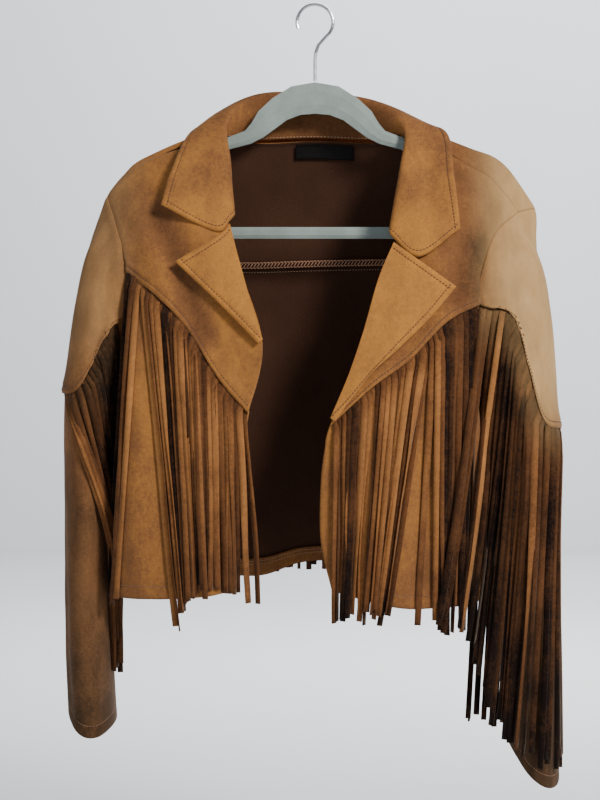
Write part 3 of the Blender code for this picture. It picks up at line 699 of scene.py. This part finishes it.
def fade_and_sheen(points):
    """How far the colour has gone toward khaki, partly worn and partly a painted sheen: most on the wearer's
    left shoulder and sleeve.
    """
    x, z = points[..., 0], points[..., 2]
    left = 0.92 * span(x, 146, 215) * (1 - span(-z, 390, 470))
    right = 0.34 * span(-x, 160, 230) * (1 - span(-z, 300, 420))
    low = 0.06 * span(np.abs(x), 175, 215) * span(-z, 420, 560)
    return left + right + low


# %% [markdown]
# ## Fronts
# Each front is two pieces, the yoke and the lower front, that meet along the slanting seam.
# Both are read from one surface, so the seam is a true line on it: the yoke's lower edge is
# turned under and stitched down as a band, and the lower front tucks up behind it.

# %% Fronts
def spread(across, down):
    """Places across and down a surface, each given as first, last and how many, for its at()."""
    return np.linspace(*across)[None, :], np.linspace(*down)[:, None]


FRONT_TURN = {"right": 1, "left": -1}
YOKE_TUCK = 0.03     # in rows: how far a yoke runs on past its seam
PANEL_TUCK = 0.02    # and how far the panel below it runs up behind
YOKE = {"thick": YOKE_CLOTH, "lap": YOKE_LAP, "turned": ("bottom",), "stitched": ("bottom",)}
HEMMED = {"stitched_wide": ("bottom",)}
for side, front in front_of.items():
    grid = front.at(*spread((0, 1, 100), (0, FRONT_YOKE_ROW + YOKE_TUCK, 110)))
    cloth_piece("front_yoke_" + side, grid, FRONT_TURN[side], CLOTH_FINISH, **YOKE,
                drawn=("top", "last"), tone=body_tone, seed=2)
    grid = front.at(*spread((0, 1, 100), (FRONT_YOKE_ROW - PANEL_TUCK, front.last_row, 150)))
    cloth_piece("front_" + side, grid, FRONT_TURN[side], CLOTH_FINISH, **HEMMED,
                turned=("bottom", "first"), drawn=("last",), tone=body_tone, seed=4)
print("front panels:", sorted(panels))

# %% [markdown]
# ## Back
# The back hangs straighter than the fronts. Its yoke comes over the shoulders, where its rows
# lie closer together.

# %% Back
across = np.linspace(0, 1, 190)[None, :]
rows = np.concatenate([np.linspace(0, 1, 16)[:-1], np.linspace(1, BACK_YOKE_ROW + YOKE_TUCK, 60)])
cloth_piece("back_yoke", back_loft.at(across, rows[:, None]), 1, CLOTH_FINISH, **YOKE,
            drawn=("top", "first", "last"), tone=body_tone, seed=6)
grid = back_loft.at(*spread((0, 1, 190), (BACK_YOKE_ROW - PANEL_TUCK, back_loft.last_row, 130)))
cloth_piece("back", grid, 1, CLOTH_FINISH, **HEMMED, turned=("bottom",), drawn=("first", "last"),
            tone=body_tone, seed=7)

# %% [markdown]
# ## Sleeves
# A sleeve is a tube that hangs flattened, its seam under the arm. The upper part is a yoke of
# its own, cut low at the outer side and running up to nothing at the armhole.

# %% Sleeves
SLEEVE_TURN = {"right": -1, "left": 1}
CAP_TUCK = 0.07      # in rings: how far the sleeve's yoke runs on past its seam
SLEEVE_TUCK = 0.01
UNDERARM = 49        # grid lines round the underarm, below the yoke
for side, sleeve in sleeve_of.items():
    crown = np.linspace(-sleeve.meets_back, sleeve.meets_front, 90)
    cap = crown[1:-1]
    grid = sleeve.at(cap[None, :], (sleeve.seam(cap) + CAP_TUCK) * np.linspace(0, 1, 80)[:, None])
    cloth_piece("sleeve_yoke_" + side, grid, SLEEVE_TURN[side], CLOTH_FINISH, **YOKE, drawn=("top",),
                tone=sleeve_tone, seed=9)
    under = 2 * math.pi - sleeve.meets_front - sleeve.meets_back
    around = np.concatenate([crown, sleeve.meets_front
                             + under * np.arange(1, UNDERARM + 1) / (UNDERARM + 1)])
    top = np.concatenate([sleeve.seam(crown) - SLEEVE_TUCK, np.zeros(UNDERARM)])
    grid = sleeve.at(around[None, :], top + (sleeve.last_ring - top) * np.linspace(0, 1, 170)[:, None])
    cloth_piece("sleeve_" + side, grid, SLEEVE_TURN[side], CLOTH_FINISH, **HEMMED, ring=True,
                turned=("bottom",), tone=sleeve_tone, seed=10)

# %% [markdown]
# ## Collar and lapels
# The collar stands up from the neck seam, rolls over and falls on the shoulders. The lapels
# are the front's own upper edge turned back. Both are double cloth, so they are thicker, with
# rounded edges and a line of topstitching that dents them.

# %% Collar and lapels
COLLAR_FINISH = (suede_face, suede_face)
DOUBLE = {"thick": TURNED, "tone": lapel_tone, "folds": 0.0, "waves": 0.8}
grid = collar_loft.at(*spread((0, 1, 260), (0, collar_loft.last_row, 70)))
edges = ("bottom", "first", "last")
cloth_piece("collar", grid, 1, COLLAR_FINISH, **DOUBLE, turned=edges, stitched=edges, seed=12)
for side, lapel in lapel_of.items():
    grid = lapel.at(*spread((0, 1, 70), (0, lapel.last_row, 120)))
    edges = ("top", "last")
    cloth_piece("lapel_" + side, grid, FRONT_TURN[side], COLLAR_FINISH, **DOUBLE, turned=edges,
                stitched=edges, seed=13)

# %% [markdown]
# ## Stitching
# Topstitching runs a short way in from every turned edge. Each stitch is a small rounded
# piece of thread that lies in its own dent, with a gap to the next where the needle went down.

# %% Stitching
def thread(name, colour, roughness=0.6):
    spun = Finish(name, roughness, sheen=0.2, specular=0.3)
    fibre = spun.noise(1500, 2, 0.6)
    spun.colour(spun.ramp(fibre, (0.3, tuple(part * 0.6 for part in colour)), (0.7, colour)))
    spun.bump(fibre, 0.4, 0.0003)
    return spun.made


tan_thread = thread("tan_thread", (0.13, 0.052, 0.020))
pale_thread = thread("pale_thread", (0.50, 0.32, 0.20))
copper_thread = thread("copper_thread", (0.86, 0.46, 0.27), 0.5)


def line_in(grid, facing, edge, inset):
    """The line on a grid that runs inset millimetres in from one of its edges, with the cloth's facing."""
    away = lengths_from_edges(grid)[edge]
    values = np.concatenate([grid, facing], axis=-1)
    if edge in ("first", "last"):
        away, values = away.T, values.transpose(1, 0, 2)
    if edge in ("bottom", "last"):
        away, values = away[::-1], values[::-1]
    found = np.array([[np.interp(inset, away[:, index], values[:, index, axis]) for axis in range(6)]
                      for index in range(values.shape[1])])
    return found[:, :3], found[:, 3:]


def tube_faces(first, rings, sides, ends):
    """The faces of a closed tube whose points start at first. ends lists the quads that close a ring."""
    corners = [(first + ring * sides + side, first + ring * sides + (side + 1) % sides)
               for ring in range(rings - 1) for side in range(sides)]
    faces = [[corner, other, other + sides, corner + sides] for corner, other in corners]
    faces += [[first + corner for corner in quad[::-1]] for quad in ends]
    return faces + [[first + (rings - 1) * sides + corner for corner in quad] for quad in ends]


END = 0.45    # how thick a stitch is at its ends, as a share of its middle


def stitch_solids(lines, pitch, length, radius, slant=0.0):
    """Small rounded rods along each line, as one set of points and faces."""
    points, faces = [], []
    for line, facing in lines:
        walked = walked_along(line)
        for start in np.arange(pitch, walked[-1] - pitch, pitch):
            here, ahead = (np.array([np.interp(start + step, walked, line[:, axis]) for axis in range(3)])
                           for step in (0, length * 0.5))
            up = np.array([np.interp(start, walked, facing[:, axis]) for axis in range(3)])
            up /= np.linalg.norm(up)
            along = ahead - here
            along /= np.linalg.norm(along)
            beside = np.cross(up, along)
            along = along * math.cos(slant) + beside * math.sin(slant)
            beside = np.cross(up, along)
            first = len(points)
            for step, size in ((-0.5, END), (-0.32, 1.0), (0.32, 1.0), (0.5, END)):
                middle = here + along * step * length + up * radius * (0.35 + 0.3 * (size - END))
                for side, lift in ((1, 0), (0, 1), (-1, 0), (0, -1)):
                    points.append(middle + (beside * side + up * lift * 0.8) * radius * size)
            faces += tube_faces(first, 4, 4, ((0, 1, 2, 3),))
    return np.array(points), faces


sewn = {}


def sew(name, lines, finish, pitch=3.3, length=2.5, radius=0.42, slant=0.0):
    points, faces = stitch_solids(lines, pitch, length, radius, slant)
    if not facing_out(points, np.array(faces)):
        faces = [face[::-1] for face in faces]
    piece = mesh_piece(name, points, faces, (finish,))
    print(name, len(faces) // 14, "stitches")
    sewn[name] = piece


def outside_of(name):
    """The outer face of a panel and the way it faces, as line_in takes them."""
    return panels[name][1], panels[name][2]


def inside_of(name):
    return panels[name][3], -panels[name][2]


TOPSTITCHED = (("collar", "bottom"), ("collar", "first"), ("collar", "last"), ("lapel_right", "top"),
               ("lapel_right", "last"), ("lapel_left", "top"), ("lapel_left", "last"),
               ("front_yoke_right", "bottom"), ("front_yoke_left", "bottom"),
               ("sleeve_yoke_right", "bottom"), ("sleeve_yoke_left", "bottom"), ("back_yoke", "bottom"))
HEMS = ("front_right", "front_left", "back", "sleeve_right", "sleeve_left")
sew("topstitching", [line_in(*outside_of(name), edge, STITCH_IN) for name, edge in TOPSTITCHED],
    tan_thread, pitch=3.6, radius=0.5)
hem_thread = thread("hem_thread", (0.30, 0.16, 0.085))
sew("hem_stitching", [line_in(*outside_of(name), "bottom", HEM_IN) for name in HEMS], hem_thread, radius=0.38)

# %% [markdown]
# ## Inside the back
# The jacket has no lining, so its seams show. The yoke seam's raw edges are overlocked
# together in copper thread and stitched down below, the hem is a band turned up to the inside,
# and a plain satin label is sewn in at the neck.

# %% Inside the back
INSIDE = -2.2        # what lies inside the back starts this far in
grid = back_loft.at(*spread((0.03, 0.97, 160), (BACK_YOKE_ROW - 0.055, BACK_YOKE_ROW + 0.05, 8)))
cloth_piece("seam_allowance", grid, 1, (suede_back, suede_back), thick=1.6, off=INSIDE,
            turned=("top", "bottom"), seed=7)
allowance = inside_of("seam_allowance")
sew("overlock_stitching", [line_in(*allowance, "top", 3.6)], copper_thread, pitch=3.6, length=6.2,
    radius=0.52, slant=0.95)
sew("overlock_edges", [line_in(*allowance, "top", inset) for inset in (0.7, 6.4)], copper_thread,
    pitch=3.6, length=2.8, radius=0.62)
sew("seam_stitching", [line_in(*inside_of("back"), "top", 8.6)], pale_thread, pitch=3.0, length=1.9)

grid = back_loft.at(*spread((0.09, 0.91, 160), (back_loft.last_row - 0.2, back_loft.last_row - 0.01, 14)))
cloth_piece("back_hem", grid, 1, (suede_face, suede_face), thick=1.2, off=INSIDE,
            turned=("bottom", "top"), tone=lambda points: np.full(points.shape[:-1], 0.52), seed=7)
sew("back_hem_stitching", [line_in(*inside_of("back_hem"), "top", inset) for inset in (3.0, 6.5)],
    pale_thread, radius=0.34)
NECK = slice(75, 185)    # columns of the collar that show above the label
sew("neck_stitching", [[part[1, NECK] for part in outside_of("collar")]], pale_thread, pitch=3.6, length=2.2)

satin = Finish("label_satin", 0.55, specular=0.12)
ribs = satin.noise(1400, 2, 0.5, stretch=(0.15, 1.0, 1.0))
satin.colour(satin.ramp(ribs, (0.3, (0.004, 0.003, 0.003)), (0.7, (0.011, 0.010, 0.010))))
satin.bump(ribs, 0.25, 0.0002)
grid = back_loft.at(*spread((0.467, 0.566, 40), (0.22, 1.14, 20)))
cloth_piece("neck_label", grid, 1, (satin.made, satin.made), thick=0.5, off=-2.4, turned=("top", "bottom"),
            folds=0.0, seed=3)

# %% [markdown]
# ## Hanger
# The hanger is a slim moulded frame, flocked with short grey-green velvet pile, and its hook is
# plated wire. Both keep their modelled shapes. Flock has a soft, pale bloom at its edges,
# where the pile is seen from the side.

# %% Hanger finishes
flock = Finish("flock_velvet", 0.9, sheen=0.7, sheen_rough=0.35, tint=(0.86, 0.94, 0.9, 1), specular=0.15)
pile = flock.noise(1300, 2, 0.7)
rub = flock.noise(34, 4, 0.6)
green = flock.ramp(flock.blend(pile, 0.5, rub, 0.5), (0.3, (0.22, 0.27, 0.25)), (0.7, (0.38, 0.45, 0.42)))
flock.colour(green)
flock.bump(pile, 0.5, 0.0005)
plated = Finish("plated_wire", 0.22, metallic=1.0)
scuff = plated.noise(160, 5, 0.7)
plated.colour(plated.ramp(scuff, (0.3, (0.52, 0.52, 0.53)), (0.7, (0.72, 0.72, 0.73))))
plated.put(plated.maths("ADD", plated.maths("MULTIPLY", scuff, 0.22), 0.12), plated.shader["Roughness"])
for name, finish in (("hanger", flock), ("hanger_hook", plated)):
    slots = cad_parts[name].material_slots
    for index in range(len(slots)):
        slots[index].material = finish.made

# %% [markdown]
# ## Fringe
# Fringe is one strip of suede cut into narrow ribbons up to its sewn edge. Every ribbon leaves
# the seam square to it, rolls over its neighbour and then hangs straight down, lying on
# whatever is behind it. So each is walked down step by step, and at every step a ray finds the
# cloth behind, which tells how far out the ribbon lies.

# %% What the ribbons lie on
def tree_of(*names):
    points, faces = [], []
    for name in names:
        mesh = panels[name][0].data
        offset = len(points)
        points += [vertex.co.copy() for vertex in mesh.vertices]
        faces += [[offset + index for index in polygon.vertices] for polygon in mesh.polygons]
    return BVHTree.FromPolygons(points, faces)


RAY_FROM = 140        # how far out from a seam the rays start
RAY_REACH = 0.26      # and how far they go, in metres


def lie_on(tree, path, out, lift, fall_back=0.9):
    """Moves a path along out, so that it lies lift above the cloth wherever there is cloth.

    The sewn end stays in its seam, and fall_back is how far a step may drop back from the one above.
    """
    height = path @ out
    found = np.full(len(path), np.nan)
    for index, point in enumerate(path):
        start = point + out * (RAY_FROM - height[index] + path[0] @ out)
        hit = tree.ray_cast(Vector(start * MM), Vector(-out), RAY_REACH)
        if hit[0] is not None:
            found[index] = (np.array(hit[0]) / MM) @ out
    lying = height.copy()
    for index in range(1, len(path)):
        rest = lying[index - 1] - fall_back
        lying[index] = rest if np.isnan(found[index]) else max(found[index] + lift, rest)
    kernel = np.array([1, 2, 3, 2, 1]) / 9
    padded = np.concatenate([[lying[0]] * 2, lying, [lying[-1]] * 2])
    lying = np.convolve(padded, kernel, mode="valid")
    lying[0] = height[0]
    return path + out * (lying - height)[:, None]


# a ribbon's section, as shares of its width and thickness, and the quads that close its ends
RIM = ((-0.5, 0.5), (0, 0.5), (0.5, 0.5), (0.5, -0.5), (0, -0.5), (-0.5, -0.5))
RIM_ENDS = ((0, 1, 4, 5), (1, 2, 3, 4))


def ribbon(path, wide, width, twist, cup):
    """A ribbon's rings of points: path is its middle, wide the direction across it."""
    along = np.gradient(path, axis=0)
    along /= np.linalg.norm(along, axis=1, keepdims=True)
    wide = wide - along * np.sum(wide * along, axis=1, keepdims=True)
    wide /= np.linalg.norm(wide, axis=1, keepdims=True)
    face = np.cross(along, wide)
    cosine, sine = np.cos(twist)[:, None], np.sin(twist)[:, None]
    across = wide * cosine + face * sine
    facing = np.cross(along, across)
    rings = []
    for side, top in RIM:
        bow = cup * (0.25 - side ** 2) * 4
        rings.append(path + across * width[:, None] * side + facing * (top * STRIP_THICK + bow))
    return np.stack(rings, axis=1)


STEPS = 26                     # points down a ribbon
LIFTS = (1.5, 2.8, 4.2)        # how far a front or back ribbon lies off what is behind it
SLEEVE_LIFTS = (1.6, 3.0, 4.6)
FLAT = {"front": 0.72, "back": 0.75, "sleeve": 0.68}    # share that hang flat: the rest are turned
PITCH = {"front": 6.3, "back": 7.0, "sleeve": 6.6}      # from one ribbon to the next along the seam


def hang_strip(root, square, tangent, out, tip, lift, tree, bend, flat, settled=1.0, fall_back=0.9):
    """One ribbon's path: square to the seam first, then down and over, hanging plumb once it has settled."""
    share = np.linspace(0, 1, STEPS)
    swung = 1 - (1 - np.minimum(share / settled, 1)) ** (1.0 if settled == 1 else 1.25)
    drop = root[2] - tip[2]
    turn_over = bend * (1 - np.exp(-share * drop / (bend * 0.8)))
    straight = root + np.outer(swung, tip - root)
    path = straight + np.outer(turn_over * np.exp(-share * 2.2), square - np.array((0, 0, square[2])))
    path[:, 2] = root[2] - share * drop
    wave = np.sin(share * math.pi * dice.uniform(1.0, 2.2) + dice.uniform(0, 6)) * dice.uniform(0.3, 1.6)
    side_way = np.cross(out, (0, 0, 1.0))
    path += np.outer(wave * share, side_way)
    path = lie_on(tree, path, out, lift, fall_back)
    level = smoothstep(share * 9)
    wide = np.outer(1 - level, tangent) + np.outer(level, side_way * math.copysign(1, tangent @ side_way))
    turned = dice.gauss(0, 0.22) if flat else dice.choice((-1, 1)) * dice.uniform(0.6, 1.45)
    start = dice.uniform(0.05, 0.4)
    twist = turned * smoothstep((share - start) / 0.35)
    twist += dice.gauss(0, 0.10) * np.sin(share * 9 + dice.uniform(0, 6))
    twist += 0.25 * dice.gauss(0, 1) * smoothstep(share * 6)
    width = np.full(STEPS, STRIP_WIDTH * dice.uniform(0.86, 1.06))
    width *= 1 - 0.10 * share
    return ribbon(path, wide, width, twist, dice.uniform(-0.8, 0.8))


def fringe(name, strips, worn_and_sheen_top=0.0):
    """One piece from all the ribbons of a seam. Its last argument lays khaki on the ribbons where they roll
    off the seam, partly wear and partly a painted sheen.
    """
    points, faces, tones, fade_and_sheen_values = [], [], [], []
    for rings, tone in strips:
        faces += tube_faces(len(points), len(rings), len(RIM), RIM_ENDS)
        points += rings.reshape(-1, 3).tolist()
        share = np.linspace(0, 1, len(rings))
        shade = tone * (0.62 + 0.38 * smoothstep(share * 7)) - 0.24 * smoothstep((share - 0.45) / 0.55)
        tones += np.repeat(shade, len(RIM)).tolist()
        fade_and_sheen_values += np.repeat(worn_and_sheen_top * (1 - smoothstep(share * 6)), len(RIM)).tolist()
    points = np.array(points)
    if not facing_out(points, np.array(faces)):
        faces = [face[::-1] for face in faces]
    piece = mesh_piece(name, points, faces, (suede_strip,), tones=np.clip(tones, 0, 1), fade_and_sheen_values=fade_and_sheen_values)
    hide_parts(name)
    print(name, len(strips), "ribbons,", 2 * len(faces), "triangles")
    return piece


# %% [markdown]
# ## Where each ribbon hangs
# The ribbons don't hang evenly: some bunch, some part and leave the panel bare. Each row of
# these tables is a place along the seam, how far the tip swings sideways from the root, and the
# height of the tip.

# %% Front and back fringe
FRONT_FALL = {
    # along the seam from the side (0) to the front edge (1), swing, tip height
    "right": ((0.0, -20, -612), (0.10, -25, -616), (0.11, 34, -636), (0.16, 30, -634), (0.2, 27, -618),
              (0.3, 18, -612), (0.45, 9, -604), (0.6, 4, -598), (0.75, 2, -600), (0.93, 3, -606),
              (1.0, 14, -614)),
    "left": ((0.0, -8, -640), (0.12, -6, -640), (0.24, -3, -636), (0.31, 0, -632), (0.33, -42, -628),
             (0.5, -28, -624), (0.6, -19, -622), (0.75, -10, -624), (0.9, -3, -628), (1.0, 1, -632)),
}
BACK_TIPS = -588
SHADED = {"right": 0.0, "left": 0.30}    # how much darker the ribbons next to the side are
DARK_SHARE, DARKER = 0.30, 0.42          # share of the front ribbons painted darker as shade, how much darker


def read_row(table, place):
    table = np.array(table, float)
    return [float(np.interp(place, table[:, 0], table[:, column])) for column in range(1, table.shape[1])]


def seam_walk(surface, row, across, pitch):
    """Places evenly spaced along a seam: share, point, the seam's direction and the way down."""
    dense = np.linspace(*across, 400)
    line = surface.at(dense, np.full(400, row))
    walked = walked_along(line)
    count = int(walked[-1] / pitch)
    for index in range(count):
        place = np.interp((index + 0.5) * walked[-1] / count, walked, dense)
        here = surface.at(np.array([place]), np.array([row]))[0]
        beside = surface.at(np.array([place + 0.004]), np.array([row]))[0] - here
        below = surface.at(np.array([place]), np.array([row + 0.02]))[0] - here
        tangent = beside / np.linalg.norm(beside)
        square = below - tangent * (below @ tangent)
        yield (index + 0.5) / count, here, tangent, square / np.linalg.norm(square)


fringes = {}
for side, front in front_of.items():
    tree = tree_of("front_" + side, "front_yoke_" + side)
    strips = []
    out = np.array((0, -1.0, 0))
    for share, here, tangent, square in seam_walk(front, FRONT_YOKE_ROW, (0.985, 0.012), PITCH["front"]):
        swing, height = read_row(FRONT_FALL[side], share)
        root = here + out * 1.5 - square * 1.0
        tip = np.array((root[0] + swing + dice.gauss(0, 1.6), root[1], height + dice.gauss(0, 3.5)))
        flat = dice.random() < FLAT["front"]
        rings = hang_strip(root, square, tangent, out, tip, dice.choice(LIFTS), tree, 5, flat)
        # painted shade: a share of the ribbons is made darker
        dark = dice.random() < DARK_SHARE
        shaded = SHADED[side] * smoothstep((0.33 - share) / 0.12)
        strips.append((rings, np.clip(dice.gauss(0.68, 0.15) - DARKER * dark - shaded, 0.06, 1.0)))
    fringes["fringe_front_" + side] = fringe("fringe_front_" + side, strips)

tree = tree_of("back", "back_yoke")
out = np.array((0, 1.0, 0))
strips = []
for share, here, tangent, square in seam_walk(back_loft, BACK_YOKE_ROW, (0.02, 0.98), PITCH["back"]):
    root = here + out * 1.6 - square * 2.0
    tip = np.array((root[0] + dice.gauss(0, 3), root[1], BACK_TIPS + dice.gauss(0, 3)))
    rings = hang_strip(root, square, tangent, out, tip, dice.choice(LIFTS), tree, 3,
                       dice.random() < FLAT["back"])
    strips.append((rings, np.clip(dice.gauss(0.42, 0.13), 0.1, 0.9)))
fringes["fringe_back"] = fringe("fringe_back", strips)

# %% Sleeve fringe
OUTER_SHARE = 0.47            # past this place on the seam, they hang at the outer side and behind
FIRST_RIBBON = {"right": -0.05, "left": 0.10}   # where they start, in radians past the end of the seam
LEFT_OVER_FRONT = 6.0         # the left sleeve's front ribbons lie over the front panel and its fringe
FALL_BACK = {"right": 2.6, "left": 0.9}
LIES_ON = {"right": ("sleeve_right", "sleeve_yoke_right"),
           "left": ("sleeve_left", "sleeve_yoke_left", "front_left", "front_yoke_left")}
SLEEVE_TONE = {"right": (0.46, 0.08), "left": (0.20, 0.10)}    # mean and spread
LIT = {"right": 0.0, "left": 0.17}        # share of the ribbons that catch the light
LIGHTER = 0.45                            # and how much lighter they are
WORN_AND_SHEEN_TOP = {"right": 0.04, "left": 0.20}  # how much khaki where they roll off the seam, partly wear and partly a painted sheen
BESIDE_BODY_SHADE = {"right": 0.42, "left": 0.0}    # painted shade on the ribbons that bunch beside the body: how much darker they are
SLEEVE_FALL = {
    # along the seam from the front of the armhole (0) round the outside to the back (1),
    # swing x, swing y, tip height
    "right": ((0.0, -5, 8, -640), (0.13, 13, 14, -664), (0.24, 27, 16, -674), (0.29, 37, 18, -680),
              (0.32, 45, 18, -680), (0.4, 54, 20, -682), (0.469, 55, 20, -686), (0.47, -2, 22, -690),
              (0.6, 2, 22, -694), (1.0, 12, -6, -686)),
    "left": ((0.0, -42, -14, -634), (0.08, -42, -14, -646), (0.16, -40, -12, -690), (0.24, -36, -10, -734),
             (0.34, -26, -6, -756), (0.46, -6, 0, -778), (0.6, -4, 2, -782), (0.8, -20, 0, -770),
             (1.0, -34, -8, -740)),
}
for side, sleeve in sleeve_of.items():
    tree = tree_of(*LIES_ON[side])
    angles = np.linspace(sleeve.meets_front + FIRST_RIBBON[side], -sleeve.meets_back + 0.05, 500)
    line = sleeve.at(angles, sleeve.seam(angles))
    walked = walked_along(line)
    count = int(walked[-1] / PITCH["sleeve"])
    strips = []
    for index in range(count):
        share = (index + 0.5) / count
        angle = np.interp(share * walked[-1], walked, angles)
        ring = float(sleeve.seam(angle))
        here, before, after, below = sleeve.at(
            np.array([angle, angle - 0.02, angle + 0.02, angle]),
            np.array([ring, float(sleeve.seam(angle - 0.02)), float(sleeve.seam(angle + 0.02)), ring + 0.05]))
        tangent = (after - before) / np.linalg.norm(after - before)
        facing = np.cross(tangent, below - here)
        facing /= np.linalg.norm(facing)
        middle = sleeve.at(np.array([angle, angle + math.pi]), np.array([2.0, 2.0]))
        outward = middle[0] - middle[1]
        if facing @ outward < 0:
            facing = -facing
        square = np.cross(facing, tangent)
        square *= -math.copysign(1, square[2])
        in_front = share < OUTER_SHARE
        level = np.array((0, -1.0, 0)) if in_front else facing * (1, 1, 0)
        out = level / np.linalg.norm(level)
        lift = dice.choice(SLEEVE_LIFTS) + (LEFT_OVER_FRONT if in_front and side == "left" else 0)
        settled = 0.56 if in_front and side == "right" else 1.0
        swing_x, swing_y, height = read_row(SLEEVE_FALL[side], share)
        root = here + facing * 1.2 - square * 0.3
        tip = np.array((root[0] + swing_x + dice.gauss(0, 2.0), root[1] + swing_y + dice.gauss(0, 2.0),
                        height + dice.gauss(0, 6)))
        rings = hang_strip(root, square, tangent, out, tip, lift, tree, 9, dice.random() < FLAT["sleeve"],
                           settled, FALL_BACK[side])
        lit = dice.random() < LIT[side]
        # painted shade where the ribbons bunch between the sleeve and the body
        shade_beside_body = BESIDE_BODY_SHADE[side] * (1 - smoothstep((share - 0.18) / 0.14))
        tone = dice.gauss(*SLEEVE_TONE[side]) + LIGHTER * lit - shade_beside_body
        strips.append((rings, np.clip(tone, 0.03, 0.95)))
    fringes["fringe_sleeve_" + side] = fringe("fringe_sleeve_" + side, strips, WORN_AND_SHEEN_TOP[side])

# %% [markdown]
# ## What each piece was cut as
# Every panel was cut flat before it was sewn and hung. Here are the sizes that its pattern
# piece would measure on the table, in metres: the width and length of the rectangle that it
# comes out of, and the area of the cut itself. A sleeve opens out at its underarm seam.

# %% Flat sizes
CUT = {
    # panel: width, length, area, what it hangs from
    "collar": (0.56, 0.115, 0.045, "hanger"),
    "lapel_right": (0.07, 0.13, 0.0046, "front_yoke_right"),
    "lapel_left": (0.08, 0.19, 0.0079, "front_yoke_left"),
    "front_yoke_right": (0.20, 0.31, 0.026, "hanger"),
    "front_yoke_left": (0.21, 0.325, 0.024, "hanger"),
    "back_yoke": (0.52, 0.16, 0.064, "hanger"),
    "front_right": (0.20, 0.325, 0.050, "front_yoke_right"),
    "front_left": (0.235, 0.30, 0.054, "front_yoke_left"),
    "back": (0.415, 0.335, 0.134, "back_yoke"),
    "back_hem": (0.36, 0.018, 0.0062, "back"),
    "sleeve_yoke_right": (0.30, 0.215, 0.021, "back_yoke"),
    "sleeve_yoke_left": (0.36, 0.235, 0.027, "back_yoke"),
    "sleeve_right": (0.42, 0.48, 0.100, "sleeve_yoke_right"),
    "sleeve_left": (0.46, 0.535, 0.120, "sleeve_yoke_left"),
    "neck_label": (0.062, 0.017, 0.00105, "back_yoke"),
}
SEWN_ON = {
    "collar": [sewn["topstitching"], sewn["neck_stitching"]],
    "back": [fringes["fringe_back"], panels["seam_allowance"][0], sewn["overlock_stitching"],
             sewn["overlock_edges"], sewn["seam_stitching"], sewn["hem_stitching"]],
    "back_hem": [sewn["back_hem_stitching"]],
    "front_right": [fringes["fringe_front_right"]],
    "front_left": [fringes["fringe_front_left"]],
    "sleeve_right": [fringes["fringe_sleeve_right"]],
    "sleeve_left": [fringes["fringe_sleeve_left"]],
}
for name, (wide, long, area, above) in CUT.items():
    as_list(SEWN_ON.get(name, ()))
print(len(CUT), "sheets,", round(sum(row[2] for row in CUT.values()), 3), "square metres of cloth")

# %% [markdown]
# ## Stand, light and camera
# A pale floor and a far pale wall, a soft key light from the upper right in front, a weak fill,
# one light behind for the edges and one for the wall. The jacket is looked at straight on, at
# the height of its chest.

# %% Stage
def plain(name, colour):
    paint = Finish(name, 0.95, specular=0.1)
    cloud = paint.noise(3, 4, 0.5)
    paint.colour(paint.ramp(cloud, (0.2, tuple(part * 0.97 for part in colour)), (0.8, colour)))
    return paint.made


def flat_board(name, corners, finish):
    mesh = bpy.data.meshes.new(name)
    mesh.from_pydata(corners, [], [[0, 1, 2, 3]])
    mesh.materials.append(finish)
    add_object(name, mesh)


FLOOR = -1.0
pale = plain("pale_paint", (0.62, 0.63, 0.65))
flat_board("floor", [(-9, -6, FLOOR), (9, -6, FLOOR), (9, 5, FLOOR), (-9, 5, FLOOR)], pale)
flat_board("far_wall", [(-9, 5, FLOOR), (9, 5, FLOOR), (9, 5, 6), (-9, 5, 6)], pale)


LAMPS = (
    # name, place, what it is aimed at, size, power, colour
    ("key", (1.3, -1.7, 0.9), (0, 0, -0.35), 0.6, 60, (1.0, 0.95, 0.88)),
    ("fill", (-1.9, -1.8, -0.1), (0, 0, -0.4), 1.8, 7, (0.95, 0.97, 1.0)),
    ("back_light", (0.6, 2.2, 0.9), (0, 0, -0.4), 1.6, 40, (1.0, 1.0, 1.0)),
    ("wall_light", (1.0, 1.5, 2.6), (0.8, 6, 0.3), 3.0, 440, (1.0, 1.0, 1.0)),
)
for name, place, aim, size, power, colour in LAMPS:
    lamp = bpy.data.lights.new(name, "AREA")
    lamp.shape, lamp.size, lamp.energy, lamp.color = "DISK", size, power, colour
    stand = add_object(name, lamp)
    stand.location = place
    stand.rotation_euler = (Vector(aim) - Vector(place)).to_track_quat("-Z", "Y").to_euler()
world = bpy.data.worlds.new("room")
world.use_nodes = True
world.node_tree.nodes["Background"].inputs["Color"].default_value = (0.85, 0.9, 1.0, 1)
world.node_tree.nodes["Background"].inputs["Strength"].default_value = 0.35
bpy.context.scene.world = world

# %% Camera
CAMERA_PLACE = (-0.0156, -1.8, -0.4097)    # at chest height, a little to the wearer's right
lens = bpy.data.cameras.new("view")
lens.lens, lens.sensor_width = 77.9, 36
camera = add_object("view", lens)
camera.location = CAMERA_PLACE
camera.rotation_euler = (math.radians(90), 0, 0)
bpy.context.scene.camera = camera
